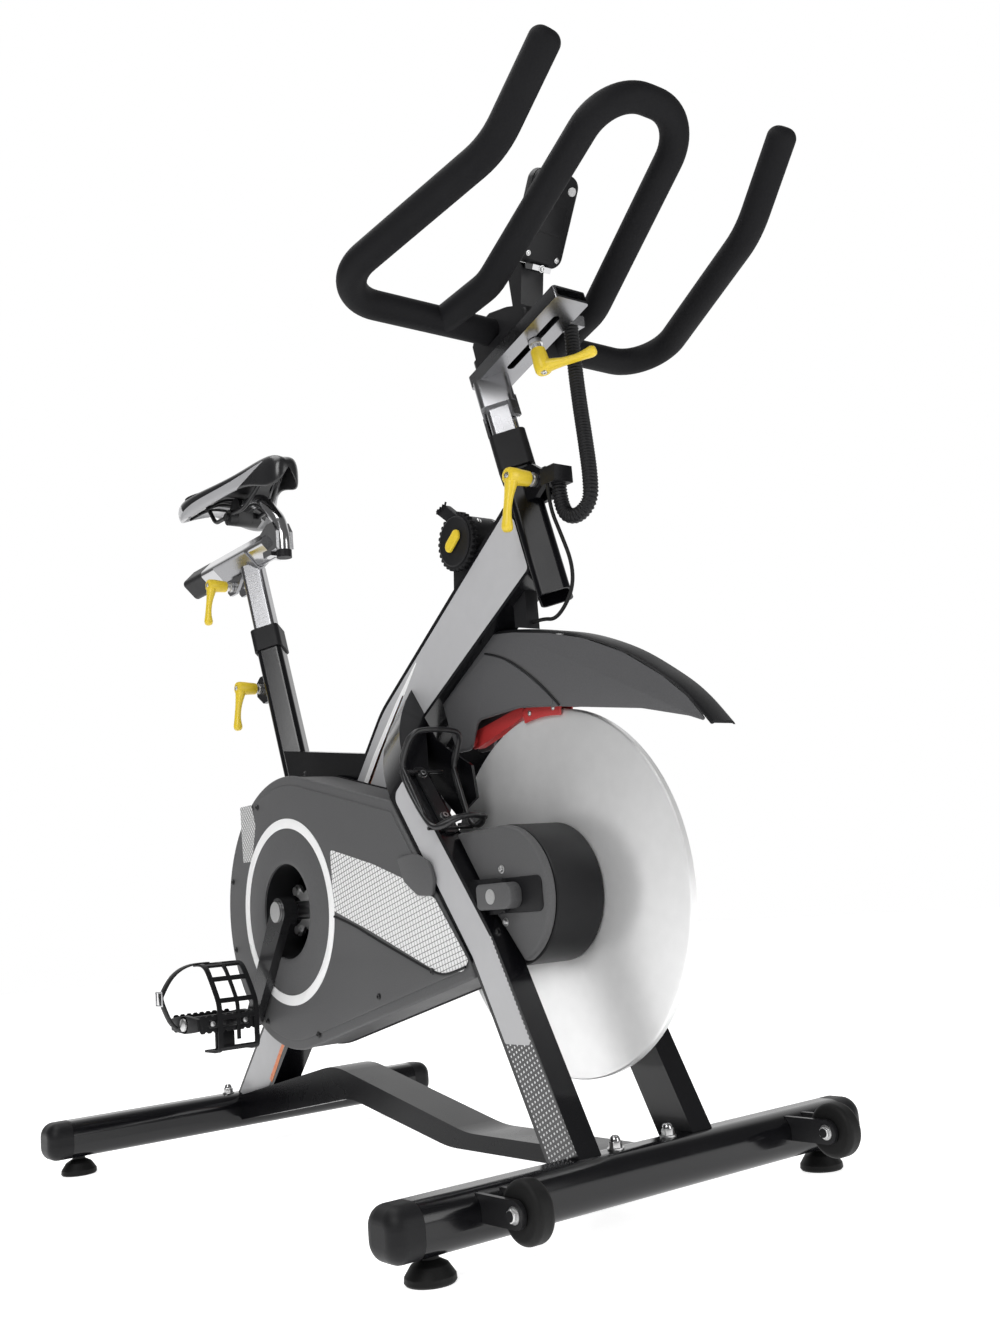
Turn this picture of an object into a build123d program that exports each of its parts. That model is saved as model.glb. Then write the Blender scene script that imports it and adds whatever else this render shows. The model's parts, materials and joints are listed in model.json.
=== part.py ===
from build123d import *
import math
import os

# Spinning bike. X is forward, Y is left, Z is up, millimetres.
# The origin lies on the floor, midway along the bike and on its middle plane.
# The right side, with the belt guard, faces -Y.

os.makedirs("parts", exist_ok=True)

# ---- shared clearances and sheet sizes
seam = 0.2                 # gap between pieces that are welded, bolted or seated
running = 0.05             # radial clearance of a shaft in its bore
moving_gap = 0.5           # gap between pieces that slide or turn past each other
tube_wall = 2.5
cover_wall = 3.0

# ---- base
stabiliser_width = 56.0
stabiliser_height = 52.0
stabiliser_corner = 20.0
stabiliser_z = 50.5
front_stabiliser_x = 401.0
rear_stabiliser_x = -511.0
front_stabiliser_half = 332.0
rear_stabiliser_half = 328.0
end_cap_length = 34.0
end_cap_round = 16.0
front_foot_inset = 54.0     # from the stabiliser's end to the foot's axis
rear_foot_inset = 50.0
front_foot_y = front_stabiliser_half - front_foot_inset
rear_foot_y = rear_stabiliser_half - rear_foot_inset
foot_radius = 25.0
foot_stud_radius = 5.0
foot_stud_top = 47.0
base_beam_width = 60.0

# ---- front legs and flywheel
leg_depth = 52.0
leg_thickness = 30.0
leg_centre_y = 81.0
flywheel_x = 296.0
flywheel_z = 345.6
flywheel_radius = 211.0
flywheel_thickness = 12.0
flywheel_near_y = 4.0      # its right face lies this far left of the middle plane
flywheel_hub_radius = 36.0
axle_radius = 8.5
axle_tab_thickness = 8.0
axle_tab_inner_y = 80.0
axle_tab_height = 40.0
axle_nut_thickness = 8.0
bearing_radius = 20.0
bearing_width = 12.0

# ---- main beam and the two posts
beam_width = 44.0
beam_wall = 3.0
outer_tube_side = 40.0
outer_tube_corner = 8.0
post_side = 34.4
post_corner = 6.0
head_lean = 16.0
head_x = 341.0
head_z = 684.0
head_tube_length = 176.0
seat_lean = 18.2
seat_tube_x = -240.0
seat_tube_z = 386.0
seat_tube_length = 396.0
collar_side = 46.0
collar_height = 46.0
connecting_beam_width = 44.0

# ---- crank, belt and guard
crank_x = -168.0
crank_z = 349.0
crank_length = 170.0
crank_angle = -124.0       # the right arm at rest, from +X towards +Z
crank_arm_inner_y = 103.0
crank_arm_thickness = 13.0
crank_axle_radius = 12.5
bracket_radius = 26.0
bracket_half = 34.0
belt_centre_y = 48.0
belt_width = 12.0
belt_thickness = 3.0
drive_pulley_radius = 95.0
flywheel_pulley_radius = 30.0
guard_radius = 188.0
guard_inner_y = 33.0
guard_face_y = 100.0
guard_recess_radius = 64.0
hub_cover_radius = 79.0
hub_cover_inner_y = -2.5
hub_cover_outer_y = 64.5
hub_plate_y = 77.5

# ---- pedals
pedal_length = 88.0
pedal_width = 92.0
pedal_thickness = 24.0
pedal_gap = 9.0
spindle_radius = 7.0
cage_thickness = 4.0
cage_width = 63.0

# ---- fender and brake
fender_half_width = 18.0
brake_pivot_x = 152.0
rim_top_z = flywheel_z + flywheel_radius
brake_pivot_z = rim_top_z - 15.6
brake_gap = 3.0

# ---- saddle
slider_z = 927.0
slider_rear_x = -627.0
neck_radius = 11.0
rail_radius = 3.5

# ---- handlebar
rail_width = 50.0
rail_height = 17.0
rail_length = 184.0
bar_radius = 17.5
bar_x = 283.0
bar_z = 1034.6

# ---- clamp levers
lever_hub_radius = 10.5
lever_hub_length = 33.0
lever_arm_length = 62.0
lever_stud_radius = 4.0

# ---- transport wheels
wheel_x = 479.5
wheel_z = 60.0
wheel_inset = 114.0         # from the stabiliser's end to the wheel's middle
wheel_y = front_stabiliser_half - wheel_inset
wheel_radius = 29.5
wheel_width = 22.0
wheel_pin_radius = 5.0


def save(builder, name):
    builder.part.label = name
    export_step(builder.part, f"parts/{name}.step")


def leaning(x, z, lean):
    """The plane across a tube that leans back by lean degrees; its normal runs up the tube."""
    angle = math.radians(lean)
    return Plane(origin=(x, 0, z), x_dir=(math.cos(angle), 0, math.sin(angle)),
                 z_dir=(-math.sin(angle), 0, math.cos(angle)))


def diamond_bar(plane, side, corner, length, mode=Mode.ADD):
    """A square bar that stands on its corner, along the plane's normal."""
    with BuildSketch(plane) as section:
        RectangleRounded(side, side, corner, rotation=45)
    extrude(section.sketch, amount=length, mode=mode)


def side_disc(x, z, radius, near_y, far_y, mode=Mode.ADD):
    """A disc across the bike, between two distances to the right of the middle plane."""
    with BuildSketch(Plane.XZ.offset(near_y)) as section:
        with Locations((x, z)):
            Circle(radius)
    extrude(section.sketch, amount=far_y - near_y, mode=mode)


def side_plate(points, near_y, far_y, mode=Mode.ADD):
    """A flat-sided plate with the given side outline."""
    with BuildSketch(Plane.XZ.offset(near_y)) as section:
        with BuildLine():
            Polyline(*points, close=True)
        make_face()
    extrude(section.sketch, amount=far_y - near_y, mode=mode)


def bent_band(upper, upper_radii, lower, lower_radii):
    """The side outline of a beam with rounded bends, as a sketch."""
    with BuildSketch(Plane.XZ) as outline:
        with BuildLine():
            top = FilletPolyline(*upper, radius=upper_radii)
            bottom = FilletPolyline(*lower, radius=lower_radii)
            Line(top @ 0, bottom @ 0)
            Line(top @ 1, bottom @ 1)
        make_face()
    return outline.sketch


def box_beam(outline, width, wall):
    """A hollow beam from its side outline."""
    extrude(outline, amount=width / 2, both=True)
    core = offset(outline, amount=-wall, kind=Kind.INTERSECTION, mode=Mode.PRIVATE)
    extrude(core, amount=width / 2 - wall, both=True, mode=Mode.SUBTRACT)


def stabiliser_bar(x, half, grow=0.0, mode=Mode.ADD):
    with BuildSketch(Plane.XZ) as section:
        with Locations((x, stabiliser_z)):
            RectangleRounded(stabiliser_width + 2 * grow, stabiliser_height + 2 * grow,
                             stabiliser_corner + grow)
    extrude(section.sketch, amount=half, both=True, mode=mode)


def round_tube(points, bend_radii, radius, mode=Mode.ADD):
    """A round rod or tube along straight runs joined by arcs."""
    with BuildLine(mode=Mode.PRIVATE) as path:
        FilletPolyline(*points, radius=bend_radii)
    with BuildSketch(Plane(origin=path.line @ 0, z_dir=path.line % 0), mode=Mode.PRIVATE) as section:
        Circle(radius)
    sweep(section.sketch, path=path.line, mode=mode)


# ================= base =================
stabiliser_ends = ((front_stabiliser_x, front_stabiliser_half, front_foot_y),
                   (rear_stabiliser_x, rear_stabiliser_half, rear_foot_y))

with BuildPart() as stabilisers:
    for x, half, foot_y in stabiliser_ends:
        stabiliser_bar(x, half - end_cap_length)
        stabiliser_bar(x, half, grow=-tube_wall, mode=Mode.SUBTRACT)
        with Locations((x, foot_y, stabiliser_z), (x, -foot_y, stabiliser_z)):
            Cylinder(foot_stud_radius + running, stabiliser_height,
                     align=(Align.CENTER, Align.CENTER, Align.MAX), mode=Mode.SUBTRACT)
save(stabilisers, "stabilisers")

with BuildPart() as end_caps:
    for x, half, foot_y in stabiliser_ends:
        with BuildSketch(Plane.XZ.offset(half - end_cap_length + seam)) as cap_section:
            with Locations((x, stabiliser_z)):
                RectangleRounded(stabiliser_width, stabiliser_height, stabiliser_corner)
        extrude(amount=end_cap_length - seam)
        tip = edges().filter_by_position(Axis.Y, -half - 0.01, -half + 0.01)
        fillet(tip, end_cap_round)
    mirror(about=Plane.XZ)
save(end_caps, "stabiliser_end_caps")


def levelling_foot(x, y):
    neck_top = stabiliser_z - stabiliser_height / 2 - 0.3
    with BuildSketch(Plane.XZ) as profile:
        with BuildLine():
            Polyline((0, 0), (foot_radius - 1.5, 0), (foot_radius, 2), (foot_radius - 0.5, 7),
                     (foot_radius - 7, 16.5), (9, 21.5), (9, neck_top), (foot_stud_radius, neck_top),
                     (foot_stud_radius, foot_stud_top), (0, foot_stud_top), close=True)
        make_face()
    revolve(profile.sketch.moved(Location((x, y, 0))), axis=Axis((x, y, 0), (0, 0, 1)))


for side_name, side in (("right", -1), ("left", 1)):
    for end_name, (x, half, foot_y) in zip(("front", "rear"), stabiliser_ends):
        with BuildPart() as foot:
            levelling_foot(x, side * foot_y)
        save(foot, f"{end_name}_foot_{side_name}")

base_outline = bent_band(
    ((rear_stabiliser_x, 69), (-190, 133), (120, 68), (front_stabiliser_x, 68)), [150, 200],
    ((rear_stabiliser_x, 33), (-150, 91), (80, 48), (front_stabiliser_x, 48)), [120, 200])
with BuildPart() as base_beam:
    box_beam(base_outline, base_beam_width, beam_wall)
    for x, half, foot_y in stabiliser_ends:
        stabiliser_bar(x, half, grow=seam, mode=Mode.SUBTRACT)
save(base_beam, "base_beam")

# bolts that hold the base beam's end plates on the stabilisers, and their washers
with BuildPart() as frame_bolts:
    for x, y in ((front_stabiliser_x, 38), (front_stabiliser_x, -38),
                 (rear_stabiliser_x, 38), (rear_stabiliser_x, -38)):
        top = stabiliser_z + stabiliser_height / 2
        with Locations((x, y, top + 0.1)):
            Cylinder(9, 1.9, align=(Align.CENTER, Align.CENTER, Align.MIN))
        with Locations((x, y, top + 2)):
            Cylinder(6.5, 7, align=(Align.CENTER, Align.CENTER, Align.MIN))
        with Locations((x, y, top + 9)):
            Sphere(5.5)
save(frame_bolts, "frame_bolts")

# ================= transport wheels =================
with BuildPart() as wheel_brackets:
    for side in (-1, 1):
        inner = side * wheel_y - side * (wheel_width / 2 + 1 + 5)
        for low in (-wheel_width / 2 - 6, wheel_width / 2 + 1):
            with BuildSketch(Plane.XZ.offset(-side * wheel_y + low)) as cheek:
                with Locations((wheel_x, wheel_z)):
                    Circle(13)
                with Locations(((wheel_x + front_stabiliser_x) / 2, wheel_z)):
                    Rectangle(wheel_x - front_stabiliser_x, 26)
            extrude(amount=5)
        with Locations((wheel_x, side * wheel_y, wheel_z)):
            Cylinder(wheel_pin_radius, wheel_width + 22, rotation=(90, 0, 0))
    stabiliser_bar(front_stabiliser_x, front_stabiliser_half, grow=seam, mode=Mode.SUBTRACT)
save(wheel_brackets, "wheel_brackets")

for side_name, side in (("right", -1), ("left", 1)):
    with BuildPart() as wheel:
        side_disc(wheel_x, wheel_z, wheel_radius, -side * wheel_y - wheel_width / 2 + 0.5,
                  -side * wheel_y + wheel_width / 2 - 0.5)
        rims = edges().filter_by(GeomType.CIRCLE)
        fillet(rims, 6)
        side_disc(wheel_x, wheel_z, wheel_pin_radius + running, -side * wheel_y - wheel_width,
                  -side * wheel_y + wheel_width, mode=Mode.SUBTRACT)
    save(wheel, f"transport_wheel_{side_name}")

# ================= main beam, head tube and seat tube =================
head_plane = leaning(head_x, head_z, head_lean)
seat_plane = leaning(seat_tube_x, seat_tube_z, seat_lean)
beam_outline = bent_band(
    ((284, 807), (-20, 606), (-530, 53)), 150,
    ((300, 790), (325, 719), (35, 553), (-425, 55)), [6, 120])

with BuildPart() as main_beam:
    box_beam(beam_outline, beam_width, beam_wall)
    side_disc(crank_x, crank_z, bracket_radius, -bracket_half, bracket_half)
    side_disc(crank_x, crank_z, bearing_radius + seam / 2, -bracket_half, bracket_half,
              mode=Mode.SUBTRACT)
    diamond_bar(head_plane.offset(-20), outer_tube_side + 2 * seam, outer_tube_corner, 240,
                mode=Mode.SUBTRACT)
    extrude(base_outline, amount=base_beam_width / 2, both=True, mode=Mode.SUBTRACT)
    stabiliser_bar(rear_stabiliser_x, rear_stabiliser_half, grow=seam, mode=Mode.SUBTRACT)
save(main_beam, "main_beam")

with BuildPart() as head_tube:
    diamond_bar(head_plane, outer_tube_side, outer_tube_corner, head_tube_length)
    for near_y in (-14, 7):
        side_plate([(296, 806), (337, 806), (352, 816), (352, 836), (335, 848), (290, 848)],
                   near_y, near_y + 7)
    diamond_bar(head_plane.offset(-1), outer_tube_side - 2 * tube_wall,
                outer_tube_corner - tube_wall, head_tube_length + 20, mode=Mode.SUBTRACT)
    with Locations(head_plane.offset(head_tube_length - 30).location):
        Box(60, 3, 80, align=(Align.MIN, Align.CENTER, Align.CENTER), mode=Mode.SUBTRACT)
    side_disc(338, 827, lever_stud_radius + running, -20, 20, mode=Mode.SUBTRACT)
save(head_tube, "head_tube")

with BuildPart() as seat_tube:
    diamond_bar(seat_plane.offset(-60), outer_tube_side, outer_tube_corner, seat_tube_length + 60)
    side_plate([(-300, 589), (-60, 553), (-108, 502), (-290, 530)],
               -connecting_beam_width / 2, connecting_beam_width / 2)
    for near_y in (-14, 7):
        side_plate([(-340, 678), (-372, 674), (-392, 688), (-394, 708), (-380, 718), (-348, 718)],
                   near_y, near_y + 7)
    extrude(offset(beam_outline, amount=seam, mode=Mode.PRIVATE), amount=beam_width, both=True,
            mode=Mode.SUBTRACT)
    diamond_bar(seat_plane.offset(-61), outer_tube_side - 2 * tube_wall,
                outer_tube_corner - tube_wall, seat_tube_length + 90, mode=Mode.SUBTRACT)
    with Locations(seat_plane.offset(seat_tube_length - 40).location):
        Box(60, 3, 100, align=(Align.MAX, Align.CENTER, Align.CENTER), mode=Mode.SUBTRACT)
    side_disc(-380, 699, lever_stud_radius + running, -20, 20, mode=Mode.SUBTRACT)
save(seat_tube, "seat_tube")


def post_collar(plane, tube_length, height, skirt):
    top = plane.offset(tube_length)
    diamond_bar(top.offset(-skirt), collar_side, outer_tube_corner, skirt + height)
    diamond_bar(top.offset(-skirt - 1), outer_tube_side + 2 * seam, outer_tube_corner,
                skirt + 1 + seam, mode=Mode.SUBTRACT)
    diamond_bar(top, outer_tube_side - 2 * tube_wall, outer_tube_corner - tube_wall, height + 1,
                mode=Mode.SUBTRACT)


with BuildPart() as post_collars:
    post_collar(head_plane, head_tube_length, collar_height, 4)
    post_collar(seat_plane, seat_tube_length, collar_height - 16, 8)
save(post_collars, "post_collars")

# ================= front legs =================
leg_front = ((414.6, 68), (294, 303.5), (149, 502))
leg_rear = ((363.5, 55), (250, 276.5), (107, 472))

with BuildPart() as front_legs:
    with BuildSketch(Plane.XZ.offset(leg_centre_y - leg_thickness / 2)) as leg_section:
        with BuildLine():
            front_edge = FilletPolyline(*leg_front, radius=220)
            rear_edge = FilletPolyline(*leg_rear, radius=170)
            Line(front_edge @ 0, rear_edge @ 0)
            Line(front_edge @ 1, rear_edge @ 1)
        make_face()
    extrude(amount=leg_thickness)
    long_edges = edges().filter_by(GeomType.LINE).filter_by(Axis.Y, reverse=True)
    with BuildSketch(Plane(origin=(128, -leg_centre_y, 487), x_dir=(0.807, 0, 0.59),
                           z_dir=(-0.59, 0, 0.807))) as leg_top:
        Rectangle(leg_depth, leg_thickness)
    with BuildSketch(Plane(origin=(72, -45, 563), x_dir=(0.807, 0, 0.59),
                           z_dir=(-0.45, 0.64, 0.62))) as leg_bend:
        Rectangle(leg_depth, leg_thickness + 4)
    with BuildSketch(Plane(origin=(50, -beam_width / 2 - seam, 590), x_dir=(0.807, 0, 0.59),
                           z_dir=(0, 1, 0))) as leg_root:
        Rectangle(leg_depth, 42)
    loft([leg_top.sketch, leg_bend.sketch, leg_root.sketch])
    with BuildSketch(Plane.XZ.offset(axle_tab_inner_y)) as axle_tab:
        with Locations((flywheel_x, flywheel_z)):
            Circle(axle_tab_height / 2)
        with Locations((flywheel_x - 30, flywheel_z)):
            Rectangle(60, axle_tab_height)
    extrude(amount=axle_tab_thickness)
    side_disc(flywheel_x, flywheel_z, axle_radius + seam, axle_tab_inner_y - 1, 98,
              mode=Mode.SUBTRACT)
    stabiliser_bar(front_stabiliser_x, front_stabiliser_half, grow=seam, mode=Mode.SUBTRACT)
    extrude(beam_outline, amount=beam_width / 2 + seam, both=True, mode=Mode.SUBTRACT)
    mirror(about=Plane.XZ)
    side_plate([(40, 585), (74, 598), (112, 548), (186, 506), (192, 466), (150, 446), (124, 470),
                (60, 530)], beam_width / 2 + 2, beam_width / 2 + 6)
save(front_legs, "front_legs")

# ================= bearings, axles and the drive =================
belt_near_y = belt_centre_y - belt_width / 2
bearing_seats = ((crank_x, crank_z, crank_axle_radius, bracket_half - bearing_width),
                 (crank_x, crank_z, crank_axle_radius, -bracket_half))

with BuildPart() as bottom_bracket_bearings:
    for x, z, bore, near_y in bearing_seats:
        side_disc(x, z, bearing_radius, near_y, near_y + bearing_width)
        side_disc(x, z, bore + running, near_y, near_y + bearing_width, mode=Mode.SUBTRACT)
save(bottom_bracket_bearings, "bottom_bracket_bearings")

hub_near_y = -flywheel_near_y - flywheel_thickness - 10
hub_far_y = 28.0
with BuildPart() as flywheel_axle:
    side_disc(flywheel_x, flywheel_z, axle_radius, -97, 97)
    for near_y in (hub_near_y + 2, hub_far_y - 2 - bearing_width):
        side_disc(flywheel_x, flywheel_z, bearing_radius, near_y, near_y + bearing_width)
    for side in (-1, 1):
        inner = axle_tab_inner_y + axle_tab_thickness + seam
        near_y = inner if side > 0 else -inner - axle_nut_thickness
        with BuildSketch(Plane.XZ.offset(near_y)) as nut:
            with Locations((flywheel_x, flywheel_z)):
                RegularPolygon(12, 6)
        extrude(amount=axle_nut_thickness)
    side_disc(flywheel_x, flywheel_z, 13, -axle_tab_inner_y + seam, hub_near_y - 2)
    side_disc(flywheel_x, flywheel_z, 13, hub_far_y + 30, axle_tab_inner_y - seam)
save(flywheel_axle, "flywheel_axle")

with BuildPart() as flywheel:
    near_y = -flywheel_near_y - flywheel_thickness
    side_disc(flywheel_x, flywheel_z, flywheel_radius, near_y, -flywheel_near_y)
    outer_rim = edges().filter_by(GeomType.CIRCLE)
    chamfer(outer_rim, 1.5)
    for face_y in (near_y - 1, -flywheel_near_y - 2.5):
        side_disc(flywheel_x, flywheel_z, flywheel_radius - 26, face_y, face_y + 3.5,
                  mode=Mode.SUBTRACT)
    side_disc(flywheel_x, flywheel_z, flywheel_hub_radius, hub_near_y, hub_far_y)
    side_disc(flywheel_x, flywheel_z, bearing_radius + running, hub_near_y - 1, hub_far_y + 1,
              mode=Mode.SUBTRACT)
save(flywheel, "flywheel")

with BuildPart() as flywheel_pulley:
    side_disc(flywheel_x, flywheel_z, flywheel_pulley_radius, belt_near_y - 2,
              belt_near_y + belt_width + 2)
    side_disc(flywheel_x, flywheel_z, 22, hub_far_y + seam, belt_near_y)
    side_disc(flywheel_x, flywheel_z, 15, 0, 80, mode=Mode.SUBTRACT)
save(flywheel_pulley, "flywheel_pulley")

with BuildPart() as drive_pulley:
    side_disc(crank_x, crank_z, drive_pulley_radius, belt_near_y, belt_near_y + belt_width)
    side_disc(crank_x, crank_z, drive_pulley_radius - 12, belt_near_y - 1, belt_near_y + 4,
              mode=Mode.SUBTRACT)
    side_disc(crank_x, crank_z, drive_pulley_radius - 12, belt_near_y + 8,
              belt_near_y + belt_width + 1, mode=Mode.SUBTRACT)
    side_disc(crank_x, crank_z, 30, belt_near_y - 4, belt_near_y + belt_width + 4)
    with Locations(Plane.XZ.offset(belt_near_y - 10)):
        with Locations((crank_x, crank_z)):
            with PolarLocations(60, 5):
                Cylinder(14, 40, mode=Mode.SUBTRACT)
    side_disc(crank_x, crank_z, crank_axle_radius + seam, 0, 120, mode=Mode.SUBTRACT)
save(drive_pulley, "drive_pulley")


def belt_loop(grow):
    """The belt's side outline, from two circles joined by their outer tangents."""
    with BuildSketch(Plane.XZ.offset(belt_near_y)) as loop:
        with Locations((crank_x, crank_z)):
            Circle(drive_pulley_radius + grow)
        with Locations((flywheel_x, flywheel_z)):
            Circle(flywheel_pulley_radius + grow)
        make_hull()
    return loop.sketch


with BuildPart() as drive_belt:
    extrude(belt_loop(0.3 + belt_thickness), amount=belt_width)
    extrude(belt_loop(0.3), amount=belt_width, mode=Mode.SUBTRACT)
save(drive_belt, "drive_belt")

# ================= crank =================
arm_angle = math.radians(crank_angle)
pedal_reach_x = crank_length * math.cos(arm_angle)
pedal_reach_z = crank_length * math.sin(arm_angle)
arm_outer_y = crank_arm_inner_y + crank_arm_thickness

with BuildPart() as crank_axle:
    side_disc(crank_x, crank_z, crank_axle_radius, -arm_outer_y + 2, arm_outer_y - 2)
save(crank_axle, "crank_axle")


def crank_arm(side):
    near_y = crank_arm_inner_y if side < 0 else -arm_outer_y
    pedal_x = crank_x - side * pedal_reach_x
    pedal_z = crank_z - side * pedal_reach_z
    with BuildSketch(Plane.XZ.offset(near_y)) as arm:
        with Locations((crank_x, crank_z)):
            Circle(19)
        with Locations((pedal_x, pedal_z)):
            Circle(14)
        make_hull()
    extrude(arm.sketch, amount=crank_arm_thickness)
    boss_near = crank_arm_inner_y - 8 if side < 0 else -crank_arm_inner_y
    side_disc(crank_x, crank_z, 19, boss_near, boss_near + 8)
    side_disc(crank_x, crank_z, crank_axle_radius + seam, -140, 140, mode=Mode.SUBTRACT)
    side_disc(pedal_x, pedal_z, spindle_radius + seam, -140, 140, mode=Mode.SUBTRACT)


for side_name, side in (("right", -1), ("left", 1)):
    with BuildPart() as arm_part:
        crank_arm(side)
    save(arm_part, f"crank_arm_{side_name}")

with BuildPart() as crank_fasteners:
    for near_y in (arm_outer_y + seam, -arm_outer_y - seam - 4):
        side_disc(crank_x, crank_z, 14, near_y, near_y + 4)
    for near_y in (arm_outer_y - 2 + seam, -arm_outer_y - seam):
        side_disc(crank_x, crank_z, crank_axle_radius - 0.5, near_y, near_y + 2)
    with BuildSketch(Plane.XZ.offset(belt_near_y + belt_width + 4 + seam)) as spider:
        with Locations((crank_x, crank_z)):
            Circle(30)
            with PolarLocations(46, 5):
                Circle(9)
            with PolarLocations(30, 5):
                Rectangle(34, 14)
    extrude(amount=5)
    with Locations(Plane.XZ.offset(belt_near_y + belt_width + 9 + seam)):
        with Locations((crank_x, crank_z)):
            with PolarLocations(46, 5):
                Cylinder(6, 5, align=(Align.CENTER, Align.CENTER, Align.MIN))
    side_disc(crank_x, crank_z, crank_axle_radius + seam, 0, arm_outer_y, mode=Mode.SUBTRACT)
save(crank_fasteners, "crank_fasteners")

# ================= pedals =================
pedal_inner_y = arm_outer_y + pedal_gap
pedal_outer_y = pedal_inner_y + pedal_width

with BuildPart() as pedal_spindles:
    for side in (-1, 1):
        x = crank_x - side * pedal_reach_x
        z = crank_z - side * pedal_reach_z
        near_y = crank_arm_inner_y + 1 if side < 0 else -pedal_outer_y + 4
        side_disc(x, z, spindle_radius, near_y, near_y + pedal_outer_y - crank_arm_inner_y - 5)
        collar_near = arm_outer_y + seam if side < 0 else -arm_outer_y - seam - 4
        side_disc(x, z, 11, collar_near, collar_near + 4)
save(pedal_spindles, "pedal_spindles")


def pedal_body(side):
    x = crank_x - side * pedal_reach_x
    z = crank_z - side * pedal_reach_z
    near_y = pedal_inner_y if side < 0 else -pedal_outer_y
    with BuildSketch(Plane.XZ.offset(near_y)) as body:
        with Locations((x, z)):
            RectangleRounded(pedal_length, pedal_thickness, 7)
    extrude(body.sketch, amount=pedal_width)
    with Locations((x + 25, side * (pedal_inner_y + pedal_width / 2), z),
                   (x - 25, side * (pedal_inner_y + pedal_width / 2), z)):
        Box(22, pedal_width - 28, pedal_thickness + 2, mode=Mode.SUBTRACT)
    side_disc(x, z, spindle_radius + running, near_y - 1, near_y + pedal_width + 1,
              mode=Mode.SUBTRACT)


def toe_cage(side):
    x = crank_x - side * pedal_reach_x
    z = crank_z - side * pedal_reach_z
    near_y = pedal_inner_y + 2 if side < 0 else -pedal_inner_y - 2 - cage_width
    front_x = x + pedal_length / 2 + seam
    with BuildSketch(Plane.XZ.offset(near_y)) as shell:
        with BuildLine():
            inner = FilletPolyline((x, z - 36), (front_x, z - 36), (front_x, z + 26),
                                   (x + 1, z + 75), (x - 27, z + 75), radius=[12, 20, 14])
            outer = FilletPolyline((x, z - 40), (front_x + 4, z - 40), (front_x + 4, z + 28),
                                   (x + 3, z + 79), (x - 27, z + 79), radius=[16, 24, 18])
            Line(inner @ 0, outer @ 0)
            Line(inner @ 1, outer @ 1)
        make_face()
    extrude(shell.sketch, amount=cage_width)
    rear_foot = (x, side * (pedal_inner_y + 2 + cage_width / 2), z - pedal_thickness / 2 - seam)
    with Locations(rear_foot):
        Box(cage_thickness, cage_width, 28 - seam, align=(Align.MIN, Align.CENTER, Align.MAX))
    window_y = pedal_inner_y + 2 + cage_width / 2
    with Locations(Plane(origin=(x + 30, side * window_y, z + 48), x_dir=(0, 1, 0),
                         z_dir=(0.76, 0, 0.65)).location):
        Box(cage_width - 24, 26, 30, mode=Mode.SUBTRACT)
    with Locations(Plane(origin=(front_x, side * window_y, z + 6), x_dir=(0, 1, 0),
                         z_dir=(1, 0, 0)).location):
        Box(cage_width - 30, 22, 30, mode=Mode.SUBTRACT)
    strap_start = pedal_inner_y + cage_width
    strap_points = [(strap_start - 6, z + 79), (strap_start + 38, z + 66),
                    (strap_start + 61, z + 39), (pedal_outer_y + 14, z + 2),
                    (pedal_outer_y + seam, z - 8), (pedal_outer_y + seam, z - 3),
                    (pedal_outer_y + 9, z + 4), (strap_start + 56, z + 39),
                    (strap_start + 35, z + 62), (strap_start - 6, z + 75)]
    with BuildSketch(Plane.YZ.offset(x - 27)) as strap:
        with BuildLine():
            Polyline(*[(side * y, height) for y, height in strap_points], close=True)
        make_face()
    extrude(strap.sketch, amount=16)


for side_name, side in (("right", -1), ("left", 1)):
    with BuildPart() as pedal:
        pedal_body(side)
    save(pedal, f"pedal_{side_name}")
    with BuildPart() as cage:
        toe_cage(side)
    save(cage, f"toe_cage_{side_name}")

# ================= belt guard and hub cover =================
def guard_outline(grow):
    with BuildSketch(Plane.XZ, mode=Mode.PRIVATE) as outline:
        with Locations((crank_x, crank_z)):
            Circle(guard_radius + grow)
        with Locations((flywheel_x, flywheel_z)):
            Circle(hub_cover_radius + grow)
        make_hull()
        with BuildLine():
            Polyline((430, -60), leg_rear[0], leg_rear[1], leg_rear[2], (-36, 667), (430, 667),
                     close=True)
        make_face(mode=Mode.SUBTRACT)
        with Locations((flywheel_x, flywheel_z)):
            Circle(hub_cover_radius + 1 - grow, mode=Mode.SUBTRACT)
    return offset(outline.sketch, amount=-2, kind=Kind.INTERSECTION, mode=Mode.PRIVATE)


with BuildPart() as guard_outer:
    extrude(guard_outline(0).moved(Location((0, -guard_inner_y - seam, 0))),
            amount=guard_face_y - guard_inner_y - seam)
    face_edges = faces().sort_by(Axis.Y)[0].edges()
    fillet(face_edges, 7)
    extrude(guard_outline(-cover_wall).moved(Location((0, -guard_inner_y, 0))),
            amount=guard_face_y - guard_inner_y - cover_wall, mode=Mode.SUBTRACT)
    side_disc(crank_x, crank_z, guard_recess_radius, 60, 120, mode=Mode.SUBTRACT)
    extrude(belt_loop(10), amount=belt_width + 4, mode=Mode.SUBTRACT)
    extrude(belt_loop(10), amount=-12, mode=Mode.SUBTRACT)
save(guard_outer, "guard_outer")

with BuildPart() as guard_inner:
    extrude(guard_outline(0).moved(Location((0, -guard_inner_y + cover_wall - seam, 0))),
            amount=cover_wall - seam)
    side_disc(crank_x, crank_z, bracket_radius + seam, 0, 60, mode=Mode.SUBTRACT)
save(guard_inner, "guard_inner")

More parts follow.
